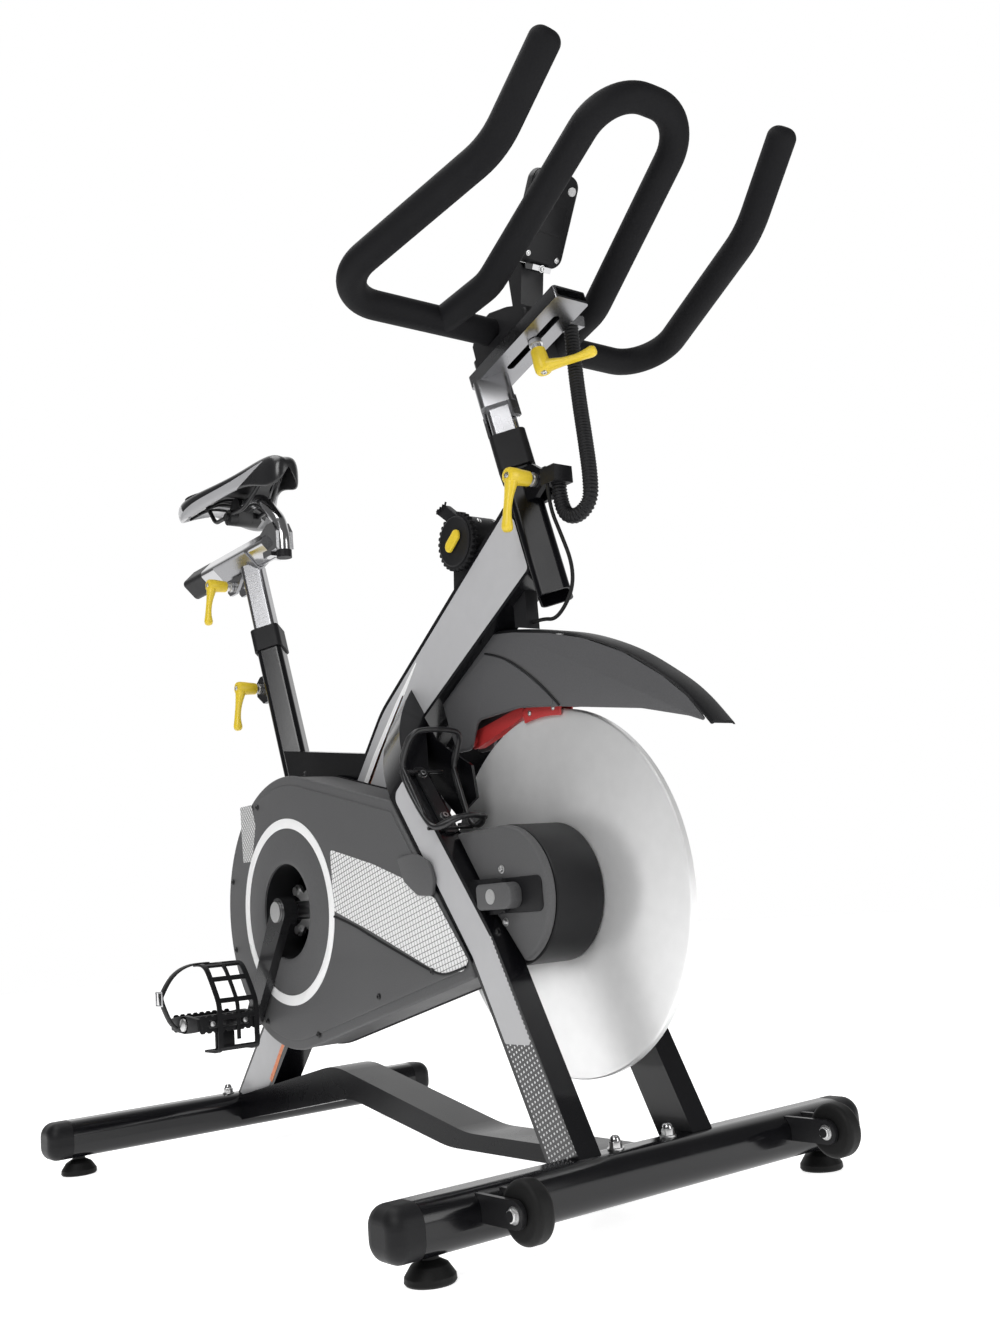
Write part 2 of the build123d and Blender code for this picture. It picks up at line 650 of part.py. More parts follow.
with BuildPart() as hub_cover:
    side_disc(flywheel_x, flywheel_z, hub_cover_radius, hub_cover_inner_y, hub_cover_outer_y)
    with BuildSketch(Plane.XZ.offset(hub_cover_outer_y)) as hub_plate:
        with Locations((flywheel_x, flywheel_z)):
            Circle(hub_cover_radius)
        with BuildLine():
            Polyline((leg_front[0][0] + 3, 60), (leg_front[1][0] + 3, leg_front[1][1]),
                     (leg_front[2][0] + 3, leg_front[2][1]), (0, 502), (0, 60), close=True)
        make_face(mode=Mode.SUBTRACT)
    extrude(amount=hub_plate_y - hub_cover_outer_y)
    rim = edges().filter_by_position(Axis.Y, -hub_plate_y - 0.1, -hub_plate_y + 0.1)
    fillet(rim, 4)
    side_disc(flywheel_x, flywheel_z, hub_cover_radius - cover_wall, hub_cover_inner_y - 1,
              hub_cover_outer_y - cover_wall, mode=Mode.SUBTRACT)
    with BuildSketch(Plane.XZ.offset(hub_plate_y - 9)) as slot_recess:
        with Locations((flywheel_x + 32, flywheel_z)):
            RectangleRounded(66, 38, 6)
    extrude(amount=20, mode=Mode.SUBTRACT)
    extrude(belt_loop(12), amount=belt_width + 6, mode=Mode.SUBTRACT)
    extrude(belt_loop(12), amount=-8, mode=Mode.SUBTRACT)
    side_disc(flywheel_x, flywheel_z, axle_radius + 5, 0, 100, mode=Mode.SUBTRACT)
save(hub_cover, "hub_cover")

# ================= fender and brake =================
pad_middle_y = flywheel_near_y + flywheel_thickness / 2
fender_left = -pad_middle_y - fender_half_width
fender_right = fender_half_width - pad_middle_y


def over_rim(points):
    """Points given as x and the height above the flywheel's top."""
    return [(x, rim_top_z + rise) for x, rise in points]


with BuildPart() as fender:
    fender_outline = [(100, 43.4), (225, 112.4), (262, 105.4), (332, 90.4), (391, 72.4), (455, 43.4),
                      (512, 6.4), (544, -20.6), (573, -53.6), (543, -44.6), (474, -25.6), (338, -1.6),
                      (264, 8.4), (180, 5.4), (162, -28.6), (132, -28.6), (118, 3.4)]
    side_plate(over_rim(fender_outline), fender_left, fender_right)
    extrude(offset(beam_outline, amount=seam, mode=Mode.PRIVATE), amount=beam_width, both=True,
            mode=Mode.SUBTRACT)
    hollow = [(120, 13.4), (136, 28.4), (228, 98.4), (262, 96.4), (330, 81.4), (388, 63.4),
              (450, 35.4), (506, -0.6), (537, -26.6), (560, -52.6), (564, -76.6), (300, -76.6),
              (160, -56.6), (120, -36.6)]
    side_plate(over_rim(hollow), fender_left + cover_wall, fender_right - cover_wall,
               mode=Mode.SUBTRACT)
save(fender, "fender")

pad_start_x = 258.0
pad_end_x = 338.0
cheek_gap = 1.2
with BuildPart() as brake_arm:
    with BuildSketch(Plane.XZ.offset(-pad_middle_y - 6)) as arm_side:
        with BuildLine():
            Polyline(over_rim([(150, -25.6), (160, -25.6), (240, -5.6), (pad_start_x - 0.3, -0.1),
                               (pad_start_x - 0.3, 10.9), (236, 9.4), (150, -5.6)]), close=True)
        make_face()
        with Locations((brake_pivot_x, brake_pivot_z)):
            Circle(10)
    extrude(amount=12)
    side_disc(brake_pivot_x, brake_pivot_z, 8, fender_left + cover_wall + 2,
              fender_right - cover_wall - 2)
    side_disc(brake_pivot_x, brake_pivot_z, 4, fender_left + cover_wall + 0.5,
              fender_right - cover_wall - 0.5)
save(brake_arm, "brake_arm")

with BuildPart() as brake_pad:
    pad_top = flywheel_radius + brake_gap + 11
    half_width = flywheel_thickness / 2 + cheek_gap + 3
    side_disc(flywheel_x, flywheel_z, pad_top, -pad_middle_y - half_width,
              -pad_middle_y + half_width)
    side_disc(flywheel_x, flywheel_z, flywheel_radius - 9, -40, 20, mode=Mode.SUBTRACT)
    side_disc(flywheel_x, flywheel_z, flywheel_radius + brake_gap,
              -pad_middle_y - flywheel_thickness / 2 - cheek_gap,
              -pad_middle_y + flywheel_thickness / 2 + cheek_gap, mode=Mode.SUBTRACT)
    with Locations((flywheel_x, pad_middle_y, flywheel_z)):
        Box(4 * flywheel_radius, 80, 3 * flywheel_radius,
            align=(Align.CENTER, Align.CENTER, Align.MAX), mode=Mode.SUBTRACT)
    with Locations((pad_start_x, pad_middle_y, flywheel_z - 1)):
        Box(2 * flywheel_radius, 80, 3 * flywheel_radius, align=(Align.MAX, Align.CENTER, Align.MIN),
            mode=Mode.SUBTRACT)
    with Locations((pad_end_x, pad_middle_y, flywheel_z - 1)):
        Box(2 * flywheel_radius, 80, 3 * flywheel_radius, align=(Align.MIN, Align.CENTER, Align.MIN),
            mode=Mode.SUBTRACT)
save(brake_pad, "brake_pad")

# ================= resistance shifter on the beam =================
shifter_x = 190.0
shifter_z = 789.0
with BuildPart() as shifter_housing:
    side_disc(shifter_x, shifter_z, 34, -22, beam_width / 2)
    side_plate([(160, 715), (214, 740), (212, 790), (168, 790)], -16, 16)
    extrude(offset(beam_outline, amount=seam, mode=Mode.PRIVATE), amount=beam_width, both=True,
            mode=Mode.SUBTRACT)
    side_disc(shifter_x, shifter_z, 6, 0, beam_width / 2 + 4)
save(shifter_housing, "shifter_housing")

with BuildPart() as shifter_lever:
    with BuildSketch(Plane.XZ.offset(beam_width / 2 + moving_gap)) as lever_disc:
        with Locations((shifter_x, shifter_z)):
            Circle(38)
        with BuildLine():
            Polyline((shifter_x - 10, shifter_z), (shifter_x - 36, shifter_z + 46),
                     (shifter_x - 14, shifter_z + 54), (shifter_x + 14, shifter_z), close=True)
        make_face()
    extrude(amount=10)
    outer_edge = faces().sort_by(Axis.Y)[0].edges()
    fillet(outer_edge, 2)
    side_disc(shifter_x, shifter_z, 6 + running, 0, beam_width / 2 + 4 + moving_gap,
              mode=Mode.SUBTRACT)
    with BuildSketch(Plane.XZ.offset(beam_width / 2 + 7)) as button_pocket:
        with Locations((shifter_x, shifter_z)):
            SlotOverall(34, 16, rotation=35)
    extrude(amount=10, mode=Mode.SUBTRACT)
save(shifter_lever, "shifter_lever")

with BuildPart() as shifter_button:
    with BuildSketch(Plane.XZ.offset(beam_width / 2 + 9)) as button_face:
        with Locations((shifter_x, shifter_z)):
            SlotOverall(33.4, 15.4, rotation=35)
    extrude(amount=5.5)
save(shifter_button, "shifter_button")

# ================= bottle cage on the right leg =================
cage_root_x = leg_front[2][0] + 9
cage_root_z = leg_front[2][1] - 12
up_leg = (-0.59, 0.807)
off_leg = (0.807, 0.59)


def cage_point(along, across_leg, away):
    """A point measured along the right leg, across it and away from its front face."""
    return (cage_root_x + along * up_leg[0] + away * off_leg[0], -leg_centre_y + across_leg,
            cage_root_z + along * up_leg[1] + away * off_leg[1])


with BuildPart() as bottle_cage:
    round_tube([cage_point(24, 0, 66), cage_point(24, 38, 62), cage_point(14, 38, 22),
                cage_point(-80, 30, 5), cage_point(-96, 24, 46), cage_point(-96, 0, 46)],
               [16, 16, 16, 12], 2.6)
    mirror(about=Plane.XZ.offset(leg_centre_y))
    with BuildSketch(Plane(origin=cage_point(-32, 0, 0.4), x_dir=(up_leg[0], 0, up_leg[1]),
                           z_dir=(off_leg[0], 0, off_leg[1]))) as strip:
        RectangleRounded(104, 16, 4)
    extrude(amount=4)
    for along in (-78, 12):
        with BuildLine(mode=Mode.PRIVATE) as cross_line:
            Line(cage_point(along, -32, 4.6), cage_point(along, 32, 4.6))
        with BuildSketch(Plane(origin=cross_line.line @ 0, z_dir=(0, 1, 0))) as cross_section:
            Circle(2.2)
        extrude(amount=64)
    for along in (8, -60):
        with Locations(Plane(origin=cage_point(along, 0, 4), z_dir=(off_leg[0], 0, off_leg[1])).location):
            Cylinder(5, 4, align=(Align.CENTER, Align.CENTER, Align.MIN))
save(bottle_cage, "bottle_cage")

# ================= seat post, slider and saddle =================
seat_post_foot = 190.0     # how far up the seat tube the post's lower end stands
seat_post_top = 546.0

with BuildPart() as seat_post:
    diamond_bar(seat_plane.offset(seat_post_foot), post_side, post_corner,
                seat_post_top - seat_post_foot)
    diamond_bar(seat_plane.offset(seat_post_foot - 1), post_side - 2 * tube_wall,
                post_corner - tube_wall, seat_post_top - seat_post_foot - 20, mode=Mode.SUBTRACT)
    cradle_plane = Plane(origin=(-500, 0, slider_z), x_dir=(0, 1, 0), z_dir=(1, 0, 0))
    diamond_bar(cradle_plane, outer_tube_side + 2 * moving_gap + 6, 9, 115)
    for near_y in (-13, 8):
        side_plate([(-480, 898), (-480, 878), (-472, 871), (-452, 871), (-440, 880), (-424, 898)],
                   near_y, near_y + 5)
    with Locations((-442, 0, slider_z - 3)):
        Box(140, 80, 60, align=(Align.CENTER, Align.CENTER, Align.MIN), mode=Mode.SUBTRACT)
    diamond_bar(cradle_plane.offset(-1), outer_tube_side + 2 * moving_gap, outer_tube_corner, 117,
                mode=Mode.SUBTRACT)
    side_disc(-462, 884, lever_stud_radius + running, -20, 20, mode=Mode.SUBTRACT)
save(seat_post, "seat_post")

slider_plane = Plane(origin=(slider_rear_x + 73, 0, slider_z), x_dir=(0, 1, 0), z_dir=(1, 0, 0))
neck_points = [(-304, 0, 908), (-304, 0, 930), (-315, 0, 961), (-368, 0, 1009), (-452, 0, 1018.5)]
neck_bends = [60, 40, 50]

with BuildPart() as seat_slider:
    diamond_bar(slider_plane, outer_tube_side, outer_tube_corner, 223)
    side_plate([(-352, 945), (-331, 955), (-311, 955), (-300, 938), (-300, 910), (-318, 909),
                (-321, 903), (-345, 903)], -15, 15)
    round_tube(neck_points, neck_bends, neck_radius)
save(seat_slider, "seat_slider")

with BuildPart() as slider_end_caps:
    diamond_bar(Plane(origin=(slider_rear_x, 0, slider_z), x_dir=(0, 1, 0), z_dir=(1, 0, 0)),
                outer_tube_side, outer_tube_corner, 73 - seam)
    rear_rim = edges().filter_by_position(Axis.X, slider_rear_x - 0.1, slider_rear_x + 0.1)
    fillet(rear_rim, 3)
    with Locations((-304, 0, 908 - seam)):
        Cylinder(neck_radius + 1, 12, align=(Align.CENTER, Align.CENTER, Align.MAX))
save(slider_end_caps, "slider_end_caps")

tilt_x = -440.0
tilt_z = 996.5
with BuildPart() as saddle_clamp:
    with BuildSketch(Plane.XZ.offset(-13)) as clamp_side:
        with Locations((tilt_x, 1014)):
            Circle(17)
        with Locations((tilt_x, tilt_z)):
            Circle(13)
        make_hull()
    extrude(amount=26)
    round_tube(neck_points, neck_bends, neck_radius + seam, mode=Mode.SUBTRACT)
    side_disc(tilt_x, tilt_z, lever_stud_radius + running, -20, 20, mode=Mode.SUBTRACT)
save(saddle_clamp, "saddle_clamp")

saddle_base_z = 1036.0
with BuildPart() as saddle_rails:
    for side in (-1, 1):
        round_tube([(-505, side * 32, saddle_base_z), (-488, side * 25, 1000),
                    (-388, side * 22, 999), (-330, side * 13, saddle_base_z)], [14, 40], rail_radius)
        side_disc(tilt_x, tilt_z, 13, -26 if side > 0 else 13.3, -13.3 if side > 0 else 26)
        side_disc(tilt_x, tilt_z, 7, -31 if side > 0 else 26, -26 if side > 0 else 31)
    side_disc(tilt_x, tilt_z, lever_stud_radius, -20, 20)
    with Locations((-440, 0, saddle_base_z - seam)):
        Box(400, 200, 40, align=(Align.CENTER, Align.CENTER, Align.MIN), mode=Mode.SUBTRACT)
save(saddle_rails, "saddle_rails")

saddle_half = [(-273, 2), (-277, 14), (-305, 25), (-350, 31), (-395, 43), (-437, 66),
               (-477, 82), (-515, 84), (-539, 64), (-546, 34)]


def saddle_outline(inset):
    """The saddle's plan view, drawn in from its rim by the inset."""
    middle_x = (saddle_half[0][0] + saddle_half[-1][0]) / 2
    half_length = (saddle_half[0][0] - saddle_half[-1][0]) / 2
    along = (half_length - inset) / half_length
    right = [(middle_x + (x - middle_x) * along, max(y - inset, 1)) for x, y in saddle_half]
    left = [(x, -y) for x, y in reversed(right)]
    with BuildSketch(Plane.XY, mode=Mode.PRIVATE) as outline:
        with BuildLine():
            Spline(*right, *left, periodic=True)
        make_face()
    return outline.sketch


with BuildPart() as saddle_base:
    extrude(saddle_outline(13).moved(Location((0, 0, saddle_base_z))), amount=5)
save(saddle_base, "saddle_base")

with BuildPart() as saddle_pad:
    extrude(saddle_outline(0).moved(Location((0, 0, 998))), amount=68)
    top_rim = faces().sort_by(Axis.Z)[-1].edges()
    fillet(top_rim, 16)
    extrude(saddle_outline(12.5).moved(Location((0, 0, 990))), amount=saddle_base_z + 5.3 - 990,
            mode=Mode.SUBTRACT)
    with Locations((-352, 0, 990)):
        Box(64, 47, saddle_base_z + 5.3 - 990, align=(Align.CENTER, Align.CENTER, Align.MIN),
            mode=Mode.SUBTRACT)
    side_plate([(-575, 980), (-575, 1034), (-535, 1030), (-495, 1014), (-455, 1000), (-415, 1004),
                (-375, 1016), (-335, 1012), (-300, 1004), (-265, 1010), (-265, 980)], -120, 120,
               mode=Mode.SUBTRACT)
save(saddle_pad, "saddle_pad")

# ================= handlebar post, rail and carriage =================
post_foot = 24.0
post_top = 304.0
rail_plane = head_plane.offset(post_top)
rail_start = -14.0
carriage_length = 118.0
slot_start = 36.0
slot_end = 140.0
stud_u = 92.0


def rail_point(u, w, y=0.0):
    """A point measured along the handlebar rail and above its underside."""
    lean = math.radians(head_lean)
    origin_x = head_x - post_top * math.sin(lean)
    origin_z = head_z + post_top * math.cos(lean)
    return (origin_x + u * math.cos(lean) - w * math.sin(lean), y,
            origin_z + u * math.sin(lean) + w * math.cos(lean))


with BuildPart() as handlebar_post:
    diamond_bar(head_plane.offset(post_foot), post_side, post_corner, post_top - post_foot)
    diamond_bar(head_plane.offset(post_top - 40), collar_side, outer_tube_corner, 40)
    for side in (-1, 1):
        with Locations(head_plane.offset(post_top - 62).location):
            with Locations((side * 26, 0, 0)):
                Box(5, 12, 30, align=(Align.CENTER, Align.CENTER, Align.MIN))
    diamond_bar(head_plane.offset(post_foot - 1), post_side - 2 * tube_wall,
                post_corner - tube_wall, post_top - post_foot - 9, mode=Mode.SUBTRACT)
    with BuildSketch(rail_plane) as rail_plan:
        with Locations((rail_start + rail_length / 2, 0)):
            RectangleRounded(rail_length, rail_width, 4)
    extrude(rail_plan.sketch, amount=rail_height)
    with Locations(rail_plane.offset(3).location):
        with Locations((rail_start + rail_length / 2 + 20, 0, 0)):
            Box(rail_length, rail_width - 6, rail_height - 6,
                align=(Align.CENTER, Align.CENTER, Align.MIN), mode=Mode.SUBTRACT)
    with BuildSketch(rail_plane.offset(-1)) as rail_slots:
        with Locations(((slot_start + slot_end) / 2, 0)):
            SlotOverall(slot_end - slot_start, 10)
    extrude(rail_slots.sketch, amount=rail_height + 2, mode=Mode.SUBTRACT)
    side_plate([(363, 1012.5), (387, 1012.5), (387, 1026), (364, 1021)], -46, -24)
save(handlebar_post, "handlebar_post")

carriage_stud_plane = Plane(origin=rail_point(stud_u, -moving_gap),
                            x_dir=(0.86 * math.cos(math.radians(head_lean)), 0.51,
                                   0.86 * math.sin(math.radians(head_lean))),
                            z_dir=(math.sin(math.radians(head_lean)), 0,
                                   -math.cos(math.radians(head_lean))))

with BuildPart() as handlebar_carriage:
    with BuildSketch(rail_plane.offset(rail_height + moving_gap)) as carriage_base:
        with Locations((carriage_length / 2, 0)):
            RectangleRounded(carriage_length, rail_width, 8)
    extrude(carriage_base.sketch, amount=11)
    side_plate([(250, 1004), (244, 1030), (256, 1052), (283, 1060), (318, 1054), (330, 1050),
                (326, 1092), (332, 1100), (352, 1100), (354, 1092), (346, 1046), (356, 1040),
                (352, 1028)], -17, 17)
    with Locations(rail_plane.offset(rail_height + moving_gap).location):
        with Locations((60, 0, 0)):
            Box(240, 120, 60, align=(Align.CENTER, Align.CENTER, Align.MAX), mode=Mode.SUBTRACT)
    side_disc(bar_x, bar_z, bar_radius + seam, -60, 60, mode=Mode.SUBTRACT)
    with BuildSketch(rail_plane.offset(rail_height - 5)) as stud_hole:
        with Locations((stud_u, 0)):
            Circle(lever_stud_radius + running)
    extrude(stud_hole.sketch, amount=22, mode=Mode.SUBTRACT)
    console_plane = Plane(origin=(385, 0, 1143), x_dir=(0.5, 0, 0.866), z_dir=(-0.866, 0, 0.5))
    with Locations(console_plane.location):
        Box(110 + 2 * seam, 80, 26 + 2 * seam, mode=Mode.SUBTRACT)
save(handlebar_carriage, "handlebar_carriage")

with BuildPart() as handlebar:
    grips = [(618, -175.9, 1192), (532, -191.8, 1102.7), (283, -255.6, bar_z)]
    left_grips = [(x, -y, z) for x, y, z in reversed(grips)]
    round_tube(grips + left_grips, [95, 55, 55, 95], bar_radius)
    tips = faces().filter_by(GeomType.PLANE).edges()
    fillet(tips, 13)
    round_tube([(bar_x, -90, bar_z), (368, -81, 1048), (577, -61, 1191), (577, 61, 1191),
                (368, 81, 1048), (bar_x, 90, bar_z)], [55, 58, 58, 55], bar_radius - 0.4)
save(handlebar, "handlebar")

with BuildPart() as console:
    with BuildSketch(console_plane.offset(-13)) as console_face:
        RectangleRounded(110, 64, 14)
    extrude(amount=26)
    rims = faces().filter_by(console_plane).edges()
    fillet(rims, 5)
    with Locations(console_plane.offset(-13).location):
        with Locations((37, 20, 0)):
            Cylinder(5.5, 6, align=(Align.CENTER, Align.CENTER, Align.MIN), mode=Mode.SUBTRACT)
save(console, "console")

with BuildPart() as console_button:
    with BuildSketch(console_plane.offset(-15)) as button_disc:
        with Locations((37, 20)):
            Circle(5.2)
    extrude(amount=5)
save(console_button, "console_button")


# ================= clamp levers =================
def clamp_lever(plane, spacer, stud_length, stud_reach):
    """A ratchet lever; the plane lies on the clamped face, its normal out of it, x along the arm."""
    with Locations(plane.offset(-stud_length).location):
        Cylinder(lever_stud_radius, stud_length + spacer,
                 align=(Align.CENTER, Align.CENTER, Align.MIN))
    with Locations(plane.offset(0.3).location):
        Cylinder(lever_hub_radius - 2, spacer, align=(Align.CENTER, Align.CENTER, Align.MIN))
    with Locations(plane.offset(spacer).location):
        Cylinder(lever_hub_radius, lever_hub_length, align=(Align.CENTER, Align.CENTER, Align.MIN))
    side_view = Plane(origin=plane.origin, x_dir=plane.x_dir, z_dir=plane.y_dir)
    with BuildSketch(side_view) as arm:
        with Locations((0, -spacer - lever_hub_length + 10)):
            Circle(9)
        with Locations((lever_arm_length, -spacer - lever_hub_length - 2)):
            Circle(7)
        make_hull()
    extrude(arm.sketch, amount=6, both=True)
    with Locations(plane.offset(spacer + lever_hub_length + 2).location):
        with Locations((lever_arm_length, 0, 0)):
            Sphere(9)
    with Locations(plane.offset(-stud_length).location):
        Cylinder(stud_reach, 5, align=(Align.CENTER, Align.CENTER, Align.MAX))


def right_side(x, z, near_y, arm_x, arm_z):
    """A plane facing the bike's right side, with its x along a lever's arm."""
    return Plane(origin=(x, -near_y, z), x_dir=(arm_x, 0, arm_z), z_dir=(0, -1, 0))


lever_places = (
    ("lever_head", right_side(338, 827, 14, -0.06, -1), 9, 28.3),
    ("lever_seat_post", right_side(-380, 699, 14, 0.06, -1), 9, 28.3),
    ("lever_seat_slider", right_side(-462, 884, 13, 0.05, -1), 12, 26.3),
    ("lever_handlebar", carriage_stud_plane, 13, 32),
)
for lever_name, plane, spacer, stud_length in lever_places:
    with BuildPart() as lever:
        if lever_name == "lever_handlebar":
            clamp_lever(plane, spacer, stud_length - 5, lever_stud_radius)
        else:
            clamp_lever(plane, spacer, stud_length, 7)
    save(lever, lever_name)

# ================= cords and their fittings =================
with BuildPart() as cable_fittings:
    with Locations((365, -2.5, 815)):
        Box(25.6, 28, 20, align=(Align.CENTER, Align.CENTER, Align.MIN))
    side_plate([(296, 656), (296, 702), (272, 694), (272, 662)], -9, 9)
    extrude(offset(beam_outline, amount=seam, mode=Mode.PRIVATE), amount=beam_width, both=True,
            mode=Mode.SUBTRACT)
    diamond_bar(head_plane.offset(-20), outer_tube_side + 2 * seam, outer_tube_corner, 240,
                mode=Mode.SUBTRACT)
save(cable_fittings, "cable_fittings")

hose_points = [(374, 35, 1012.5), (374, 35, 970), (384, 28, 915), (398, 19, 858), (409, 11, 812),
               (409, 8, 782), (386, 4, 768.4), (364, 1, 782), (364, 1, 815)]
cable_points = [(360, -13, 815), (360, -13, 788), (376, -13, 750), (389, -12, 714), (384, -9, 687),
                (362, -5, 668), (338, -2, 658), (316, 0, 664), (296, 0, 664)]


def bend_radii_for(points):
    """Radii that use 0.45 of the shorter run at each bend."""
    radii = []
    for before, here, after in zip(points, points[1:], points[2:]):
        first = Vector(*here) - Vector(*before)
        second = Vector(*after) - Vector(*here)
        half_turn = math.radians(first.get_angle(second)) / 2
        radii.append(0.45 * min(first.length, second.length) / math.tan(half_turn))
    return radii


for cord_name, points, radius in (("cable_hose", hose_points, 9.3), ("sensor_cable", cable_points, 2.3)):
    bends = bend_radii_for(points)
    print(cord_name, [round(bend, 1) for bend in bends])
    with BuildPart() as cord:
        round_tube(points, bends, radius)
    save(cord, cord_name)
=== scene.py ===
import bpy
import bmesh
import json
import math
from mathutils import Matrix, Vector


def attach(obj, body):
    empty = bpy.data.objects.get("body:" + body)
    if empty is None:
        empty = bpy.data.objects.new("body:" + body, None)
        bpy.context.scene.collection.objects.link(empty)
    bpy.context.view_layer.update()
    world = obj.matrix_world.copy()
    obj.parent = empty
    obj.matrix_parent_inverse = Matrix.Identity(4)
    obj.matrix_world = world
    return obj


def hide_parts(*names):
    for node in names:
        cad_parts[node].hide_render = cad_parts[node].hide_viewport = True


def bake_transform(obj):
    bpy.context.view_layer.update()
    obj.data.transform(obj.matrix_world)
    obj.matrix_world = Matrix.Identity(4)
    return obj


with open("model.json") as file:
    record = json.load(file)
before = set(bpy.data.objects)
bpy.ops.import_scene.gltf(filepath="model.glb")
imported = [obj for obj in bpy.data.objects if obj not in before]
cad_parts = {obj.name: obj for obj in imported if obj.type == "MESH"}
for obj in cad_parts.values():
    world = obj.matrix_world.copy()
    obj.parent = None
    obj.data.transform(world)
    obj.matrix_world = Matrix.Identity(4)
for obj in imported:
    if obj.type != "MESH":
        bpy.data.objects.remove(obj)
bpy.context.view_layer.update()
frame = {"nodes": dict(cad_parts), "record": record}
nodes = frame["nodes"]
print("frame loaded")


# camera and studio
cameraSizes = {
    "place": (1.5128, -1.0007, 0.3455),
    "forward": (-0.77705, 0.60539, 0.17231),
    "right": (0.60113, 0.79493, -0.08205),
    "up": (0.18665, -0.03982, 0.98162),
    "lens": 36.62,
}


def makeCamera():
    data = bpy.data.cameras.new("camera")
    data.sensor_width = 36
    data.lens = cameraSizes["lens"]
    data.shift_x = -0.0013
    data.shift_y = 0.0002
    data.clip_start = 0.05
    camera = bpy.data.objects.new("camera", data)
    bpy.context.collection.objects.link(camera)
    right = Vector(cameraSizes["right"])
    up = Vector(cameraSizes["up"])
    back = -Vector(cameraSizes["forward"])
    turn = Matrix((right, up, back)).transposed().to_4x4()
    camera.matrix_world = Matrix.Translation(cameraSizes["place"]) @ turn
    bpy.context.scene.camera = camera


studioSizes = {"floorWidth": 14.0, "lampHeight": 3.4, "darkSide": 0.16}


def areaLamp(name, place, target, width, height, power):
    data = bpy.data.lights.new(name, "AREA")
    data.shape = "RECTANGLE"
    data.size = width
    data.size_y = height
    data.energy = power
    lamp = bpy.data.objects.new(name, data)
    bpy.context.collection.objects.link(lamp)
    lamp.location = place
    direction = Vector(target) - Vector(place)
    lamp.rotation_euler = direction.to_track_quat("-Z", "Y").to_euler()


def makeStudio():
    half = studioSizes["floorWidth"] / 2
    mesh = bpy.data.meshes.new("studioFloor")
    mesh.from_pydata([(-half, -half, -0.0005), (half, -half, -0.0005), (half, half, -0.0005),
                      (-half, half, -0.0005)], [], [(0, 1, 2, 3)])
    floor = bpy.data.objects.new("studioFloor", mesh)
    bpy.context.collection.objects.link(floor)
    paper = bpy.data.materials.new("studioPaper")
    paper.use_nodes = True
    shader = paper.node_tree.nodes["Principled BSDF"]
    shader.inputs["Base Color"].default_value = (0.8, 0.8, 0.8, 1)
    shader.inputs["Roughness"].default_value = 0.9
    shader.inputs["Emission Color"].default_value = (1, 1, 1, 1)
    shader.inputs["Emission Strength"].default_value = 0.82
    mesh.materials.append(paper)
    world = bpy.data.worlds.new("studioWorld")
    world.use_nodes = True
    tree = world.node_tree
    place = tree.nodes.new("ShaderNodeTexCoord")
    facing = tree.nodes.new("ShaderNodeVectorMath")
    facing.operation = "DOT_PRODUCT"
    facing.inputs[1].default_value = cameraSizes["forward"]
    spread = tree.nodes.new("ShaderNodeMapRange")
    spread.interpolation_type = "SMOOTHSTEP"
    spread.inputs["From Min"].default_value = 0.45
    spread.inputs["From Max"].default_value = 0.8
    spread.inputs["To Min"].default_value = studioSizes["darkSide"]
    spread.inputs["To Max"].default_value = 1.0
    tree.links.new(place.outputs["Generated"], facing.inputs[0])
    tree.links.new(facing.outputs["Value"], spread.inputs["Value"])
    tree.links.new(spread.outputs["Result"], tree.nodes["Background"].inputs["Strength"])
    tree.nodes["Background"].inputs["Color"].default_value = (1, 1, 1, 1)
    bpy.context.scene.world = world
    areaLamp("keyLamp", (1.6, -2.6, 2.6), (0, 0, 0.55), 1.6, 1.6, 55)
    areaLamp("fillLamp", (3.0, 1.0, 1.2), (0, 0, 0.5), 1.2, 2.0, 26)
    areaLamp("topLamp", (-0.6, -0.6, studioSizes["lampHeight"]), (0, 0, 0.5), 2.4, 1.6, 40)
    bpy.context.scene.view_settings.view_transform = "Standard"


makeCamera()
makeStudio()
print("camera and studio")


# shared shader groups
def groupOf(name, inputs, outputs):
    tree = bpy.data.node_groups.new(name, "ShaderNodeTree")
    for label, kind, value in inputs:
        socket = tree.interface.new_socket(label, in_out="INPUT", socket_type=kind)
        if value is not None:
            socket.default_value = value
    for label, kind in outputs:
        tree.interface.new_socket(label, in_out="OUTPUT", socket_type=kind)
    return tree, tree.nodes.new("NodeGroupInput"), tree.nodes.new("NodeGroupOutput")


# fine moulded grain: a normal and a slight change of shade
def speckleGroup():
    tree, given, out = groupOf("moulded grain", [
        ("Scale", "NodeSocketFloat", 900.0), ("Depth", "NodeSocketFloat", 0.12)],
        [("Shade", "NodeSocketFloat"), ("Normal", "NodeSocketVector")])
    place = tree.nodes.new("ShaderNodeTexCoord")
    noise = tree.nodes.new("ShaderNodeTexNoise")
    noise.inputs["Detail"].default_value = 3
    bump = tree.nodes.new("ShaderNodeBump")
    bump.inputs["Distance"].default_value = 0.001
    shade = tree.nodes.new("ShaderNodeMapRange")
    shade.inputs["To Min"].default_value = 0.82
    shade.inputs["To Max"].default_value = 1.18
    tree.links.new(place.outputs["Object"], noise.inputs["Vector"])
    tree.links.new(given.outputs["Scale"], noise.inputs["Scale"])
    tree.links.new(noise.outputs["Fac"], bump.inputs["Height"])
    tree.links.new(given.outputs["Depth"], bump.inputs["Strength"])
    tree.links.new(noise.outputs["Fac"], shade.inputs["Value"])
    tree.links.new(shade.outputs["Result"], out.inputs["Shade"])
    tree.links.new(bump.outputs["Normal"], out.inputs["Normal"])
    return tree


